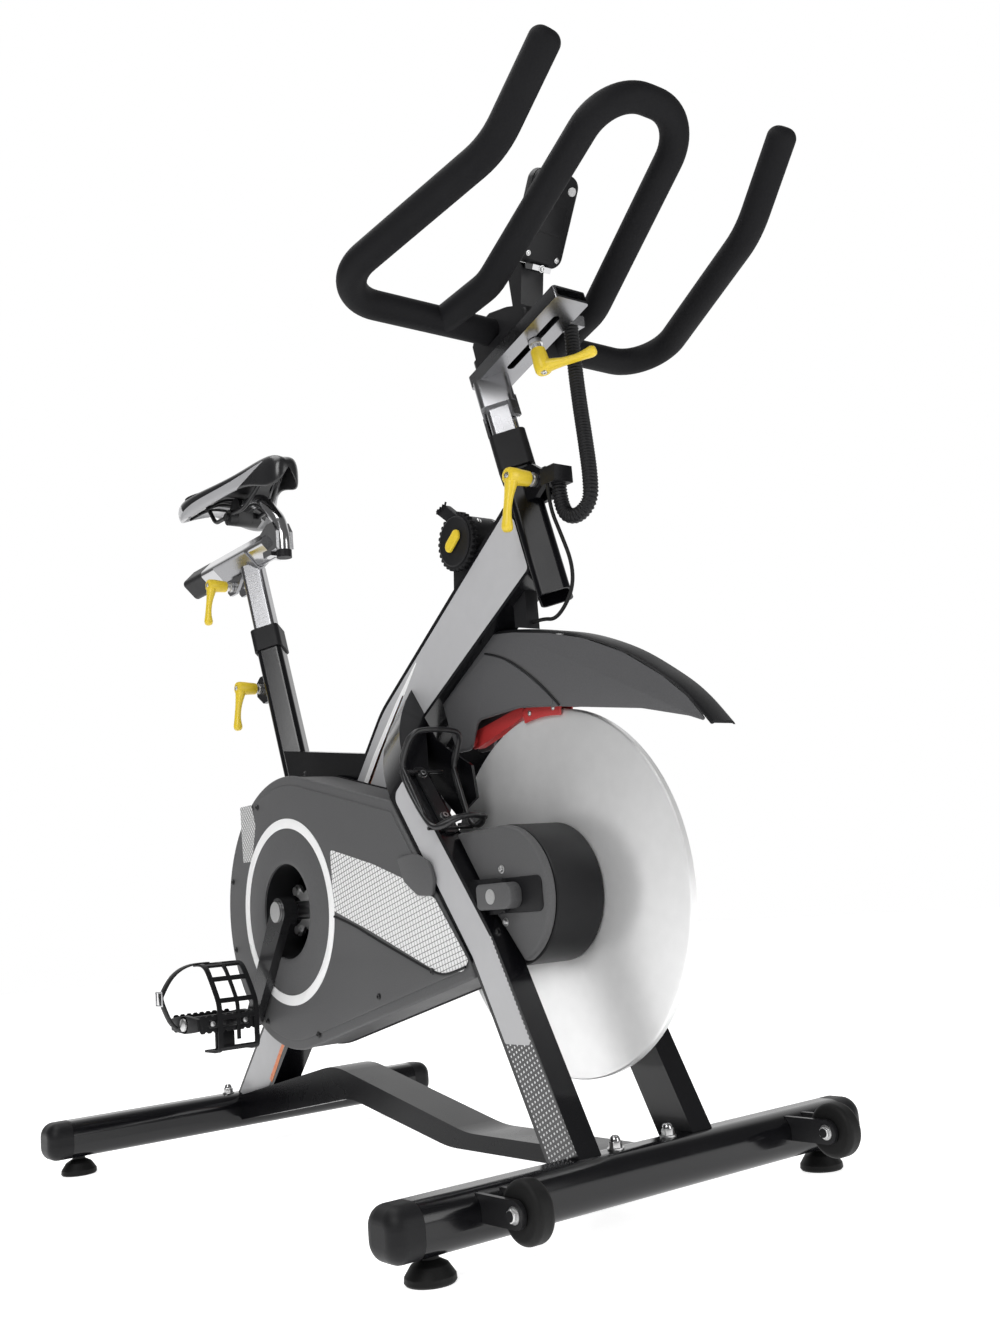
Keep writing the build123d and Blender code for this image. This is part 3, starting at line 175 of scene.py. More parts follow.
# soft uneven roughness, as handling leaves it
def smudgeGroup():
    tree, given, out = groupOf("handled roughness", [
        ("Scale", "NodeSocketFloat", 9.0), ("Low", "NodeSocketFloat", 0.2),
        ("High", "NodeSocketFloat", 0.35)], [("Roughness", "NodeSocketFloat")])
    place = tree.nodes.new("ShaderNodeTexCoord")
    noise = tree.nodes.new("ShaderNodeTexNoise")
    noise.inputs["Detail"].default_value = 4
    spread = tree.nodes.new("ShaderNodeMapRange")
    spread.inputs["From Min"].default_value = 0.3
    spread.inputs["From Max"].default_value = 0.7
    tree.links.new(place.outputs["Object"], noise.inputs["Vector"])
    tree.links.new(given.outputs["Scale"], noise.inputs["Scale"])
    tree.links.new(noise.outputs["Fac"], spread.inputs["Value"])
    tree.links.new(given.outputs["Low"], spread.inputs["To Min"])
    tree.links.new(given.outputs["High"], spread.inputs["To Max"])
    tree.links.new(spread.outputs["Result"], out.inputs["Roughness"])
    return tree


speckle = speckleGroup()
smudge = smudgeGroup()


# A material with handled roughness and, where grain is (scale, depth), a moulded surface
def finish(name, color, low, high, metallic=0.0, coat=0.0, grain=None, smudgeScale=9.0,
           gloss=0.5):
    material = bpy.data.materials.new(name)
    material.use_nodes = True
    tree = material.node_tree
    shader = tree.nodes["Principled BSDF"]
    shader.inputs["Metallic"].default_value = metallic
    shader.inputs["Specular IOR Level"].default_value = gloss
    shader.inputs["Coat Weight"].default_value = coat
    shader.inputs["Coat Roughness"].default_value = 0.08
    rough = tree.nodes.new("ShaderNodeGroup")
    rough.node_tree = smudge
    rough.inputs["Scale"].default_value = smudgeScale
    rough.inputs["Low"].default_value = low
    rough.inputs["High"].default_value = high
    tree.links.new(rough.outputs["Roughness"], shader.inputs["Roughness"])
    surface = tree.nodes.new("ShaderNodeGroup")
    surface.node_tree = speckle
    surface.inputs["Scale"].default_value = grain[0] if grain else 60.0
    surface.inputs["Depth"].default_value = grain[1] if grain else 0.01
    tree.links.new(surface.outputs["Normal"], shader.inputs["Normal"])
    tint = tree.nodes.new("ShaderNodeMix")
    tint.data_type = "RGBA"
    tint.blend_type = "MULTIPLY"
    tint.inputs["Factor"].default_value = 1.0 if grain else 0.25
    tint.inputs["A"].default_value = (*color, 1)
    tree.links.new(surface.outputs["Shade"], tint.inputs["B"])
    tree.links.new(tint.outputs["Result"], shader.inputs["Base Color"])
    return material


glossBlack = finish("gloss black paint", (0.004, 0.004, 0.005), 0.14, 0.24, coat=0.12, gloss=0.35)
satinGrey = finish("satin grey paint", (0.36, 0.36, 0.37), 0.32, 0.42)
blackSteel = finish("black steel", (0.008, 0.008, 0.009), 0.3, 0.42)
blackPlastic = finish("black plastic", (0.008, 0.008, 0.009), 0.42, 0.55, grain=(700, 0.08),
                      gloss=0.22)
greyCover = finish("grained grey plastic", (0.085, 0.085, 0.087), 0.5, 0.62, grain=(620, 0.25),
                   gloss=0.3)
fenderGrey = finish("fender grey plastic", (0.085, 0.085, 0.088), 0.36, 0.46, grain=(800, 0.06),
                    gloss=0.3)
yellowPlastic = finish("yellow plastic", (0.68, 0.5, 0.03), 0.32, 0.42, grain=(500, 0.05))
redPlastic = finish("red plastic", (0.42, 0.03, 0.03), 0.35, 0.45, grain=(500, 0.05))
lightPlastic = finish("light plastic", (0.55, 0.55, 0.55), 0.4, 0.5, grain=(500, 0.05))
foam = finish("grip foam", (0.006, 0.006, 0.007), 0.6, 0.75, grain=(450, 0.2), gloss=0.14)
blackRubber = finish("black rubber", (0.007, 0.007, 0.007), 0.5, 0.65, grain=(400, 0.12),
                     gloss=0.2)
chrome = finish("chromed steel", (0.52, 0.52, 0.53), 0.1, 0.18, metallic=1.0)
steel = finish("bright steel", (0.3, 0.3, 0.31), 0.2, 0.3, metallic=1.0)
zinc = finish("zinc plated steel", (0.6, 0.6, 0.6), 0.25, 0.4, metallic=1.0, grain=(900, 0.05))
plate = finish("plated flywheel", (0.9, 0.9, 0.9), 0.3, 0.4, metallic=0.55)
leather = finish("saddle cover", (0.018, 0.018, 0.02), 0.36, 0.5, grain=(520, 0.18))

slotFinish = {
    "gloss_black_paint": glossBlack, "satin_grey_paint": satinGrey, "black_steel": blackSteel,
    "chrome_steel": chrome, "bright_steel": steel, "zinc_bolts": zinc, "flywheel_steel": plate,
    "grey_cover": greyCover, "black_plastic": blackPlastic, "fender_grey": fenderGrey,
    "yellow_plastic": yellowPlastic, "red_plastic": redPlastic, "light_plastic": lightPlastic,
    "foam_grip": foam, "black_rubber": blackRubber, "saddle_cover": leather,
}
slotOf = {entry["node"]: entry["material_slot"] for entry in frame["record"]["subparts"]}
crankBlack = finish("black crank arm", (0.03, 0.03, 0.032), 0.2, 0.3, metallic=0.6, coat=0.3)
beamBlack = finish("black beam paint", (0.003, 0.003, 0.004), 0.2, 0.3, gloss=0.16)
ownFinish = {"crank_arm_right": crankBlack, "crank_arm_left": crankBlack, "base_beam": beamBlack,
             "head_tube": beamBlack}
for name, node in nodes.items():
    node.data.materials.clear()
    node.data.materials.append(ownFinish.get(name, slotFinish[slotOf[name]]))
print("materials")


# mesh helpers; lengths inside them are millimetres
# applies the piece's modifiers and smooths it, keeping edges sharper than the angle
def bake(piece, angle=35):
    bpy.context.view_layer.update()
    graph = bpy.context.evaluated_depsgraph_get()
    mesh = bpy.data.meshes.new_from_object(piece.evaluated_get(graph))
    piece.modifiers.clear()
    piece.data = mesh
    mesh.shade_smooth()
    mesh.set_sharp_from_angle(angle=math.radians(angle))
    return piece


def addPiece(name, vertices, faces, material, scale=0.001):
    mesh = bpy.data.meshes.new(name)
    mesh.from_pydata([tuple(value * scale for value in vertex) for vertex in vertices], [], faces)
    builder = bmesh.new()
    builder.from_mesh(mesh)
    bmesh.ops.recalc_face_normals(builder, faces=builder.faces)
    builder.to_mesh(mesh)
    builder.free()
    mesh.materials.append(material)
    piece = bpy.data.objects.new(name, mesh)
    bpy.context.collection.objects.link(piece)
    return piece


def settle(piece, body, slotName, *stoodFor):
    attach(piece, body)
    if stoodFor:
        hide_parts(*stoodFor)
    return piece


def softEdges(piece, width, segments=3, angle=30):
    bevel = piece.modifiers.new("soft edges", "BEVEL")
    bevel.width = width * 0.001
    bevel.segments = segments
    bevel.limit_method = "ANGLE"
    bevel.angle_limit = math.radians(angle)
    return piece


# A closed outline with its corners rounded; radius may be a list, one per corner
def rounded(points, radius, steps=6):
    result = []
    count = len(points)
    for index, corner in enumerate(points):
        before = Vector(points[index - 1]) - Vector(corner)
        after = Vector(points[(index + 1) % count]) - Vector(corner)
        bend = radius[index] if isinstance(radius, (list, tuple)) else radius
        half = before.angle(after) / 2
        reach = min(bend / max(math.tan(half), 0.01), before.length * 0.48, after.length * 0.48)
        bend = reach * math.tan(half)
        if bend < 0.05:
            result.append(tuple(corner))
            continue
        start = Vector(corner) + before.normalized() * reach
        end = Vector(corner) + after.normalized() * reach
        middle = Vector(corner) + (before.normalized() + after.normalized()).normalized() * (
            bend / math.sin(half))
        for step in range(steps + 1):
            share = step / steps
            toward = start.lerp(end, share) - middle
            result.append(tuple(middle + toward.normalized() * bend))
    return result


# A plate seen from the side: outline in (x, z), thickness between two distances to the right
def sidePlate(name, outline, near, far, material, edge=0.0, holes=()):
    builder = bmesh.new()
    loops = [outline] + list(holes)
    edges = []
    for loop in loops:
        ring = [builder.verts.new((x * 0.001, -near * 0.001, z * 0.001)) for x, z in loop]
        for index in range(len(ring)):
            edges.append(builder.edges.new((ring[index - 1], ring[index])))
    bmesh.ops.triangle_fill(builder, edges=edges, use_beauty=True, use_dissolve=False)
    flat = list(builder.faces)
    grown = bmesh.ops.extrude_face_region(builder, geom=flat)
    moved = [item for item in grown["geom"] if isinstance(item, bmesh.types.BMVert)]
    bmesh.ops.translate(builder, verts=moved, vec=(0, (near - far) * 0.001, 0))
    bmesh.ops.recalc_face_normals(builder, faces=builder.faces)
    bmesh.ops.dissolve_limit(builder, angle_limit=0.01, verts=builder.verts, edges=builder.edges)
    mesh = bpy.data.meshes.new(name)
    builder.to_mesh(mesh)
    builder.free()
    mesh.materials.append(material)
    piece = bpy.data.objects.new(name, mesh)
    bpy.context.collection.objects.link(piece)
    if edge:
        softEdges(piece, edge)
    return piece


# origin, two cross directions and the axis, as vectors
def frameOf(origin, axis, toward=(0, 0, 1)):
    along = Vector(axis).normalized()
    guide = Vector(toward)
    if abs(guide.normalized().dot(along)) > 0.98:
        guide = Vector((1, 0, 0))
    side = (guide - along * guide.dot(along)).normalized()
    return Vector(origin), side, along.cross(side), along


# A turned piece: profile of (radius, distance along the axis), radius 0 closes an end
def turned(name, profile, origin, axis, material, segments=64, toward=(0, 0, 1), wave=None):
    base, side, other, along = frameOf(origin, axis, toward)
    vertices, faces, rings = [], [], []
    for radius, distance in profile:
        if radius < 1e-6:
            rings.append([len(vertices)])
            vertices.append(tuple(base + along * distance))
            continue
        ring = []
        for step in range(segments):
            angle = 2 * math.pi * step / segments
            swell = radius * (1 + (wave(angle) if wave else 0))
            ring.append(len(vertices))
            vertices.append(tuple(base + along * distance
                                  + side * (swell * math.cos(angle))
                                  + other * (swell * math.sin(angle))))
        rings.append(ring)
    for first, second in zip(rings, rings[1:]):
        for step in range(segments):
            following = (step + 1) % segments
            if len(first) == 1 and len(second) == 1:
                continue
            if len(first) == 1:
                faces.append((first[0], second[step], second[following]))
            elif len(second) == 1:
                faces.append((first[step], second[0], first[following]))
            else:
                faces.append((first[step], second[step], second[following], first[following]))
    return addPiece(name, vertices, faces, material)


# A skin through rings of points with the same count; the end rings are filled
def lofted(name, sections, material, closed=True):
    vertices, faces = [], []
    count = len(sections[0])
    for section in sections:
        vertices.extend(section)
    for level in range(len(sections) - 1):
        for step in range(count if closed else count - 1):
            following = (step + 1) % count
            faces.append((level * count + step, level * count + following,
                          (level + 1) * count + following, (level + 1) * count + step))
    if closed:
        faces.append(tuple(range(count)))
        faces.append(tuple(range((len(sections) - 1) * count, len(sections) * count)))
    return addPiece(name, vertices, faces, material)


# several baked pieces as one object
def joined(name, pieces):
    builder = bmesh.new()
    materials = []
    for piece in pieces:
        start = len(builder.faces)
        builder.from_mesh(piece.data)
        builder.faces.ensure_lookup_table()
        for face in builder.faces[start:]:
            material = piece.data.materials[face.material_index]
            if material not in materials:
                materials.append(material)
            face.material_index = materials.index(material)
    mesh = bpy.data.meshes.new(name)
    for material in materials:
        mesh.materials.append(material)
    builder.to_mesh(mesh)
    builder.free()
    for piece in pieces:
        bpy.data.objects.remove(piece)
    result = bpy.data.objects.new(name, mesh)
    bpy.context.collection.objects.link(result)
    return result


# A bolt head on a washer: a hex head, a dome, or a round-headed screw with a socket recess
def boltHead(name, origin, axis, radius, height, material, kind="hex"):
    washerProfile = [(0, 0), (radius * 1.35, 0), (radius * 1.35, radius * 0.18),
                     (radius * 0.9, radius * 0.22)]
    washer = bake(turned(name + "Washer", washerProfile, origin, axis, material, 40))
    base = Vector(origin) + Vector(axis).normalized() * radius * 0.2
    if kind == "hex":
        head = turned(name + "Head", [(radius * 1.1, 0), (radius * 1.1, height * 0.8),
                                      (radius * 0.9, height), (0, height)], base, axis, material, 6)
        head = bake(softEdges(head, radius * 0.06, 2), 25)
    elif kind == "dome":
        headProfile = [(radius, 0), (radius, height * 0.35), (radius * 0.86, height * 0.7),
                       (radius * 0.5, height * 0.95), (0, height)]
        head = bake(turned(name + "Head", headProfile, base, axis, material, 32))
    else:
        head = bake(turned(name + "Head", [(radius, 0), (radius * 0.97, height * 0.6),
                                           (radius * 0.8, height), (radius * 0.5, height),
                                           (radius * 0.46, height * 0.4), (0, height * 0.35)],
                           base, axis, material, 32))
    return joined(name, [washer, head])


# A round rod on a smooth curve through its control points, as a mesh
def tubeAlong(name, points, radius, material, order=3, sides=24, cyclic=False):
    data = bpy.data.curves.new(name, "CURVE")
    data.dimensions = "3D"
    data.bevel_depth = radius * 0.001
    data.bevel_resolution = max(sides // 4 - 1, 2)
    data.resolution_u = 16
    data.use_fill_caps = not cyclic
    spline = data.splines.new("NURBS")
    spline.points.add(len(points) - 1)
    for place, point in zip(spline.points, points):
        place.co = (point[0] * 0.001, point[1] * 0.001, point[2] * 0.001, 1)
    spline.use_cyclic_u = cyclic
    spline.order_u = order
    spline.use_endpoint_u = not cyclic
    curve = bpy.data.objects.new(name + "Line", data)
    bpy.context.collection.objects.link(curve)
    bpy.context.view_layer.update()
    mesh = bpy.data.meshes.new_from_object(
        curve.evaluated_get(bpy.context.evaluated_depsgraph_get()))
    bpy.data.objects.remove(curve)
    mesh.materials.clear()
    mesh.materials.append(material)
    mesh.shade_smooth()
    piece = bpy.data.objects.new(name, mesh)
    bpy.context.collection.objects.link(piece)
    return piece

# points on a circle in the side view, angles in degrees
def arc(x, z, radius, start, end, steps=32):
    return [(x + radius * math.cos(math.radians(start + (end - start) * step / steps)),
             z + radius * math.sin(math.radians(start + (end - start) * step / steps)))
            for step in range(steps + 1)]


# the cable hose and the sensor cable
hoseSizes = {
    "route": [(374, 35, 1012.5), (374, 35, 970), (384, 28, 915), (398, 19, 858), (409, 11, 812),
              (409, 8, 782), (386, 4, 768.4), (364, 1, 782), (364, 1, 815)],
    "radius": 9.3, "ringPitch": 4.2, "ringDepth": 1.5,
}


# the smooth line through a route's control points, and the points it passes
def routeLine(name, points):
    data = bpy.data.curves.new(name, "CURVE")
    data.dimensions = "3D"
    data.resolution_u = 24
    spline = data.splines.new("NURBS")
    spline.points.add(len(points) - 1)
    for place, point in zip(spline.points, points):
        place.co = (point[0] * 0.001, point[1] * 0.001, point[2] * 0.001, 1)
    spline.order_u = 3
    spline.use_endpoint_u = True
    line = bpy.data.objects.new(name, data)
    bpy.context.collection.objects.link(line)
    bpy.context.view_layer.update()
    read = bpy.data.meshes.new_from_object(
        line.evaluated_get(bpy.context.evaluated_depsgraph_get()))
    places = [vertex.co.copy() for vertex in read.vertices]
    bpy.data.meshes.remove(read)
    return line, places


# geometry Nodes: resamples the line and sweeps a ring whose radius swells at a pitch
def sweepTree(name):
    tree = bpy.data.node_groups.new(name, "GeometryNodeTree")
    face = tree.interface
    face.new_socket("Geometry", in_out="INPUT", socket_type="NodeSocketGeometry")
    for label, kind in (("Radius", "NodeSocketFloat"), ("Pitch", "NodeSocketFloat"),
                        ("Depth", "NodeSocketFloat"), ("Material", "NodeSocketMaterial")):
        face.new_socket(label, in_out="INPUT", socket_type=kind)
    face.new_socket("Geometry", in_out="OUTPUT", socket_type="NodeSocketGeometry")
    nodesIn = tree.nodes
    given, out = nodesIn.new("NodeGroupInput"), nodesIn.new("NodeGroupOutput")
    resample = nodesIn.new("GeometryNodeResampleCurve")
    step = nodesIn.new("ShaderNodeMath")
    step.operation = "DIVIDE"
    step.inputs[1].default_value = 6.0
    if "Mode" in resample.inputs:
        resample.inputs["Mode"].default_value = "Length"
    else:
        resample.mode = "LENGTH"
    travelled = nodesIn.new("GeometryNodeSplineParameter")
    turns = nodesIn.new("ShaderNodeMath")
    turns.operation = "DIVIDE"
    angle = nodesIn.new("ShaderNodeMath")
    angle.operation = "MULTIPLY"
    angle.inputs[1].default_value = 2 * math.pi
    wave = nodesIn.new("ShaderNodeMath")
    wave.operation = "COSINE"
    swell = nodesIn.new("ShaderNodeMath")
    swell.operation = "MULTIPLY_ADD"
    inner = nodesIn.new("ShaderNodeMath")
    inner.operation = "SUBTRACT"
    size = nodesIn.new("GeometryNodeSetCurveRadius")
    ring = nodesIn.new("GeometryNodeCurvePrimitiveCircle")
    ring.inputs["Resolution"].default_value = 28
    ring.inputs["Radius"].default_value = 1.0
    sweep = nodesIn.new("GeometryNodeCurveToMesh")
    sweep.inputs["Fill Caps"].default_value = True
    painted = nodesIn.new("GeometryNodeSetMaterial")
    real = nodesIn.new("GeometryNodeRealizeInstances")
    join = tree.links.new
    join(given.outputs["Geometry"], resample.inputs["Curve"])
    join(given.outputs["Pitch"], step.inputs[0])
    join(step.outputs[0], resample.inputs["Length"])
    join(travelled.outputs["Length"], turns.inputs[0])
    join(given.outputs["Pitch"], turns.inputs[1])
    join(turns.outputs[0], angle.inputs[0])
    join(angle.outputs[0], wave.inputs[0])
    join(given.outputs["Radius"], inner.inputs[0])
    join(given.outputs["Depth"], inner.inputs[1])
    join(wave.outputs[0], swell.inputs[0])
    join(given.outputs["Depth"], swell.inputs[1])
    join(inner.outputs[0], swell.inputs[2])
    join(resample.outputs["Curve"], size.inputs["Curve"])
    join(swell.outputs[0], size.inputs["Radius"])
    join(size.outputs["Curve"], sweep.inputs["Curve"])
    if "Scale" in sweep.inputs:
        radius = nodesIn.new("GeometryNodeInputRadius")
        join(radius.outputs[0], sweep.inputs["Scale"])
    join(ring.outputs["Curve"], sweep.inputs["Profile Curve"])
    join(sweep.outputs["Mesh"], real.inputs["Geometry"])
    join(real.outputs["Geometry"], painted.inputs["Geometry"])
    join(given.outputs["Material"], painted.inputs["Material"])
    join(painted.outputs["Geometry"], out.inputs["Geometry"])
    return tree


def setInput(modifier, label, value):
    for item in modifier.node_group.interface.items_tree:
        if item.in_out == "INPUT" and item.name == label:
            modifier[item.identifier] = value


def sweptRoute(name, line, radius, pitch, depth, material):
    modifier = line.modifiers.new("sweep", "NODES")
    modifier.node_group = sweepTree(name + " sweep")
    setInput(modifier, "Radius", radius * 0.001)
    setInput(modifier, "Pitch", pitch * 0.001)
    setInput(modifier, "Depth", depth * 0.001)
    setInput(modifier, "Material", material)
    bpy.context.view_layer.update()
    mesh = bpy.data.meshes.new_from_object(
        line.evaluated_get(bpy.context.evaluated_depsgraph_get()))
    bpy.data.objects.remove(line)
    mesh.shade_smooth()
    piece = bpy.data.objects.new(name, mesh)
    bpy.context.collection.objects.link(piece)
    return piece


def makeHose():
    line, places = routeLine("hoseLine", hoseSizes["route"])
    hose = sweptRoute("cableHose", line, hoseSizes["radius"], hoseSizes["ringPitch"],
                      hoseSizes["ringDepth"] / 2, blackPlastic)
    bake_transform(hose)
    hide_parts("cable_hose")


cableSizes = {
    "route": [(360, -13, 815), (360, -13, 788), (376, -13, 750), (389, -12, 714), (384, -9, 687),
              (362, -5, 668), (338, -2, 658), (316, 0, 664), (296, 0, 664)],
    "radius": 2.3,
}


def makeCable():
    line, places = routeLine("cableLine", cableSizes["route"])
    cable = sweptRoute("sensorCable", line, cableSizes["radius"], 6.0, 0.0, blackRubber)
    settle(cable, "frame", "black_rubber", "sensor_cable")


makeHose()
makeCable()
print("cords")


# painted panels and stripes on the beam and the front legs
def halftoneGroup():
    # square dots on a turned grid; their size changes along a direction
    tree, given, out = groupOf("halftone dots", [
        ("Cell", "NodeSocketFloat", 0.006), ("Turn", "NodeSocketFloat", 0.0),
        ("From", "NodeSocketFloat", 0.0), ("To", "NodeSocketFloat", 1.0),
        ("First", "NodeSocketFloat", 0.42), ("Last", "NodeSocketFloat", 0.42)],
        [("Mask", "NodeSocketFloat")])
    place = tree.nodes.new("ShaderNodeTexCoord")
    turn = tree.nodes.new("ShaderNodeVectorRotate")
    turn.rotation_type = "Y_AXIS"
    tree.links.new(place.outputs["Object"], turn.inputs["Vector"])
    tree.links.new(given.outputs["Turn"], turn.inputs["Angle"])
    parts = tree.nodes.new("ShaderNodeSeparateXYZ")
    tree.links.new(turn.outputs["Vector"], parts.inputs["Vector"])

    def math2(operation, first, second=None):
        node = tree.nodes.new("ShaderNodeMath")
        node.operation = operation
        for index, value in enumerate((first, second)):
            if value is None:
                continue
            if isinstance(value, (int, float)):
                node.inputs[index].default_value = value
            else:
                tree.links.new(value, node.inputs[index])
        return node.outputs[0]

    def fromCentre(coordinate):
        cells = math2("DIVIDE", coordinate, given.outputs["Cell"])
        return math2("ABSOLUTE", math2("SUBTRACT", math2("FRACT", cells), 0.5))

    away = math2("MAXIMUM", fromCentre(parts.outputs["X"]), fromCentre(parts.outputs["Z"]))
    size = tree.nodes.new("ShaderNodeMapRange")
    for label, source in (("From Min", "From"), ("From Max", "To"), ("To Min", "First"),
                          ("To Max", "Last")):
        tree.links.new(given.outputs[source], size.inputs[label])
    tree.links.new(parts.outputs["Z"], size.inputs["Value"])
    tree.links.new(math2("LESS_THAN", away, size.outputs["Result"]), out.inputs["Mask"])
    return tree


halftone = halftoneGroup()


# adds light dots to a finish
def dotted(material, color, cell, turn, start, end, first, last):
    tree = material.node_tree
    shader = tree.nodes["Principled BSDF"]
    dots = tree.nodes.new("ShaderNodeGroup")
    dots.node_tree = halftone
    for label, value in (("Cell", cell * 0.001), ("Turn", math.radians(turn)),
                         ("From", start * 0.001), ("To", end * 0.001), ("First", first),
                         ("Last", last)):
        dots.inputs[label].default_value = value
    blend = tree.nodes.new("ShaderNodeMix")
    blend.data_type = "RGBA"
    tree.links.new(dots.outputs["Mask"], blend.inputs["Factor"])
    tree.links.new(shader.inputs["Base Color"].links[0].from_socket, blend.inputs["A"])
    blend.inputs["B"].default_value = (*color, 1)
    tree.links.new(blend.outputs["Result"], shader.inputs["Base Color"])
    return material


whiteInk = finish("white transfer", (0.83, 0.83, 0.83), 0.25, 0.35)
orangeInk = finish("orange transfer", (0.75, 0.2, 0.05), 0.25, 0.35)
panelGrey = finish("satin panel", (0.42, 0.42, 0.43), 0.28, 0.4, coat=0.2)

beamGraphics = {
    "side": 22.0, "lift": 0.15,
    "panel": ([(287, 801), (-15, 602), (-516, 61), (-432, 61), (33, 557), (321, 722), (303, 786)],
              [3, 146, 2, 2, 122, 6, 3]),
    "white": ([(84, 665), (20, 612), (-46, 548), (-104, 482), (-84, 482), (-28, 545), (38, 615)],
              [1, 60, 60, 1, 1, 60, 60]),
    "orange": ([(40, 618), (-24, 550), (-82, 483), (-88, 486), (-29, 552), (36, 618)], 1),
    "rearOrange": ([(-322, 184), (-328, 187), (-400, 102), (-393, 97)], 1),
}
legGraphics = {
    "side": 96.0, "lift": 0.15,
    "panel": ([(143, 499), (112, 477), (254, 280), (302, 187), (348, 187), (290, 301)],
              [14, 12, 60, 4, 4, 60]),
    "dots": ([(254, 279.7), (366, 62), (407, 82), (291, 303)], 1),
}


def makeGraphics():
    for name, material, slotName in (("panel", panelGrey, "satin_grey_paint"),
                                     ("white", whiteInk, "light_plastic"),
                                     ("orange", orangeInk, "yellow_plastic"),
                                     ("rearOrange", orangeInk, "yellow_plastic")):
        outline, bends = beamGraphics[name]
        over = 0 if name == "panel" else beamGraphics["lift"]
        for sideName, sign in (("Right", 1), ("Left", -1)):
            near = sign * (beamGraphics["side"] + 0.03 + over)
            far = sign * (beamGraphics["side"] + 0.03 + over + beamGraphics["lift"])
            piece = sidePlate("beam" + name.capitalize() + sideName, rounded(outline, bends, 10),
                              near, far, material)
            settle(bake(piece, 30), "frame", slotName)
    fade = dotted(finish("fading leg panel", (0.02, 0.02, 0.022), 0.2, 0.3, coat=0.3),
                  (0.62, 0.62, 0.63), 5.6, 27, 250, 118, 0.5, 0.2)
    for name, material in (("dots", fade), ("panel", panelGrey)):
        outline, bends = legGraphics[name]
        over = legGraphics["lift"] if name == "panel" else 0
        for sideName, sign in (("Right", 1), ("Left", -1)):
            near = sign * (legGraphics["side"] + 0.03 + over)
            far = sign * (legGraphics["side"] + 0.03 + over + legGraphics["lift"])
            piece = sidePlate("leg" + name.capitalize() + sideName, rounded(outline, bends, 10),
                              near, far, material)
            settle(bake(piece, 30), "frame", "satin_grey_paint")


makeGraphics()
print("painted panels")


# flywheel
flywheelSizes = {"x": 296.0, "z": 345.6, "radius": 211.0, "near": -16.0, "far": -4.0,
                 "hubRadius": 36.0}


def brushedPlate():
    material = finish("brushed flywheel", (0.86, 0.86, 0.86), 0.3, 0.36, metallic=0.6)
    tree = material.node_tree
    shader = tree.nodes["Principled BSDF"]
    shader.inputs["Anisotropic"].default_value = 0.75
    tangent = tree.nodes.new("ShaderNodeTangent")
    tangent.direction_type = "RADIAL"
    tangent.axis = "Y"
    tree.links.new(tangent.outputs["Tangent"], shader.inputs["Tangent"])
    return material


def makeFlywheel():
    size = flywheelSizes
    material = brushedPlate()
    rim = size["radius"]
    right, left = -size["far"], -size["near"]
    profile = [(20, right - 30), (size["hubRadius"] - 2, right - 30),
               (size["hubRadius"], right - 28),
               (size["hubRadius"], right - 2), (size["hubRadius"] + 2, right), (rim - 5, right),
               (rim - 1.5, right + 1), (rim, right + 2.8), (rim, left - 2.8), (rim - 1.5, left - 1),
               (rim - 5, left), (size["hubRadius"] + 2, left), (size["hubRadius"], left + 2),
               (size["hubRadius"], left + 8), (size["hubRadius"] - 2, left + 10), (20, left + 10),
               (20, right - 30)]
    centre = (size["x"], 0, size["z"])
    disc = bake(turned("flywheelDisc", profile, centre, (0, 1, 0), material, 160), 28)
    bolts = []
    for step in range(6):
        angle = math.radians(30 + 60 * step)
        for direction, y in ((1, left + 10), (-1, right - 30)):
            spot = (size["x"] + 28 * math.cos(angle), y, size["z"] + 28 * math.sin(angle))
            bolts.append(boltHead("flywheelBolt", spot, (0, direction, 0), 3.4, 3.0, zinc))
    settle(joined("flywheelBolts", bolts), "flywheel_body", "zinc_bolts")
    settle(disc, "flywheel_body", "flywheel_steel", "flywheel")


makeFlywheel()
print("flywheel")


# belt guard
guardSizes = {
    "face": 100.0, "back": 33.2, "crankX": -168.0, "crankZ": 349.0, "radius": 186.0,
    "frontX": 296.0, "frontZ": 345.6, "frontRadius": 77.0,
    "ringInner": 113.5, "ringOuter": 127.0, "recess": 64.0,
}


# the hull of the two circles; makeGuard cuts it off along the front leg
def guardOutline(shrink=0.0):
    size = guardSizes
    big, small = size["radius"] - shrink, size["frontRadius"] - shrink
    apart = math.hypot(size["frontX"] - size["crankX"], size["frontZ"] - size["crankZ"])
    lean = math.degrees(math.atan2(size["frontZ"] - size["crankZ"],
                                   size["frontX"] - size["crankX"]))
    openAngle = math.degrees(math.acos((big - small) / apart))
    whole = arc(size["crankX"], size["crankZ"], big, lean + openAngle, lean + 360 - openAngle, 72)
    whole += arc(size["frontX"], size["frontZ"], small, lean - openAngle, lean + openAngle, 40)
    return whole


# keeps what lies left of a line through (x, z) points that runs upward
def cutBehind(outline, line):
    (x0, z0), (x1, z1) = line
    kept = []

    def side(point):
        return (x1 - x0) * (point[1] - z0) - (z1 - z0) * (point[0] - x0)

    for first, second in zip(outline, outline[1:] + outline[:1]):
        a, b = side(first), side(second)
        if a >= 0:
            kept.append(first)
        if a * b < 0:
            share = a / (a - b)
            kept.append((first[0] + (second[0] - first[0]) * share,
                         first[1] + (second[1] - first[1]) * share))
    return kept


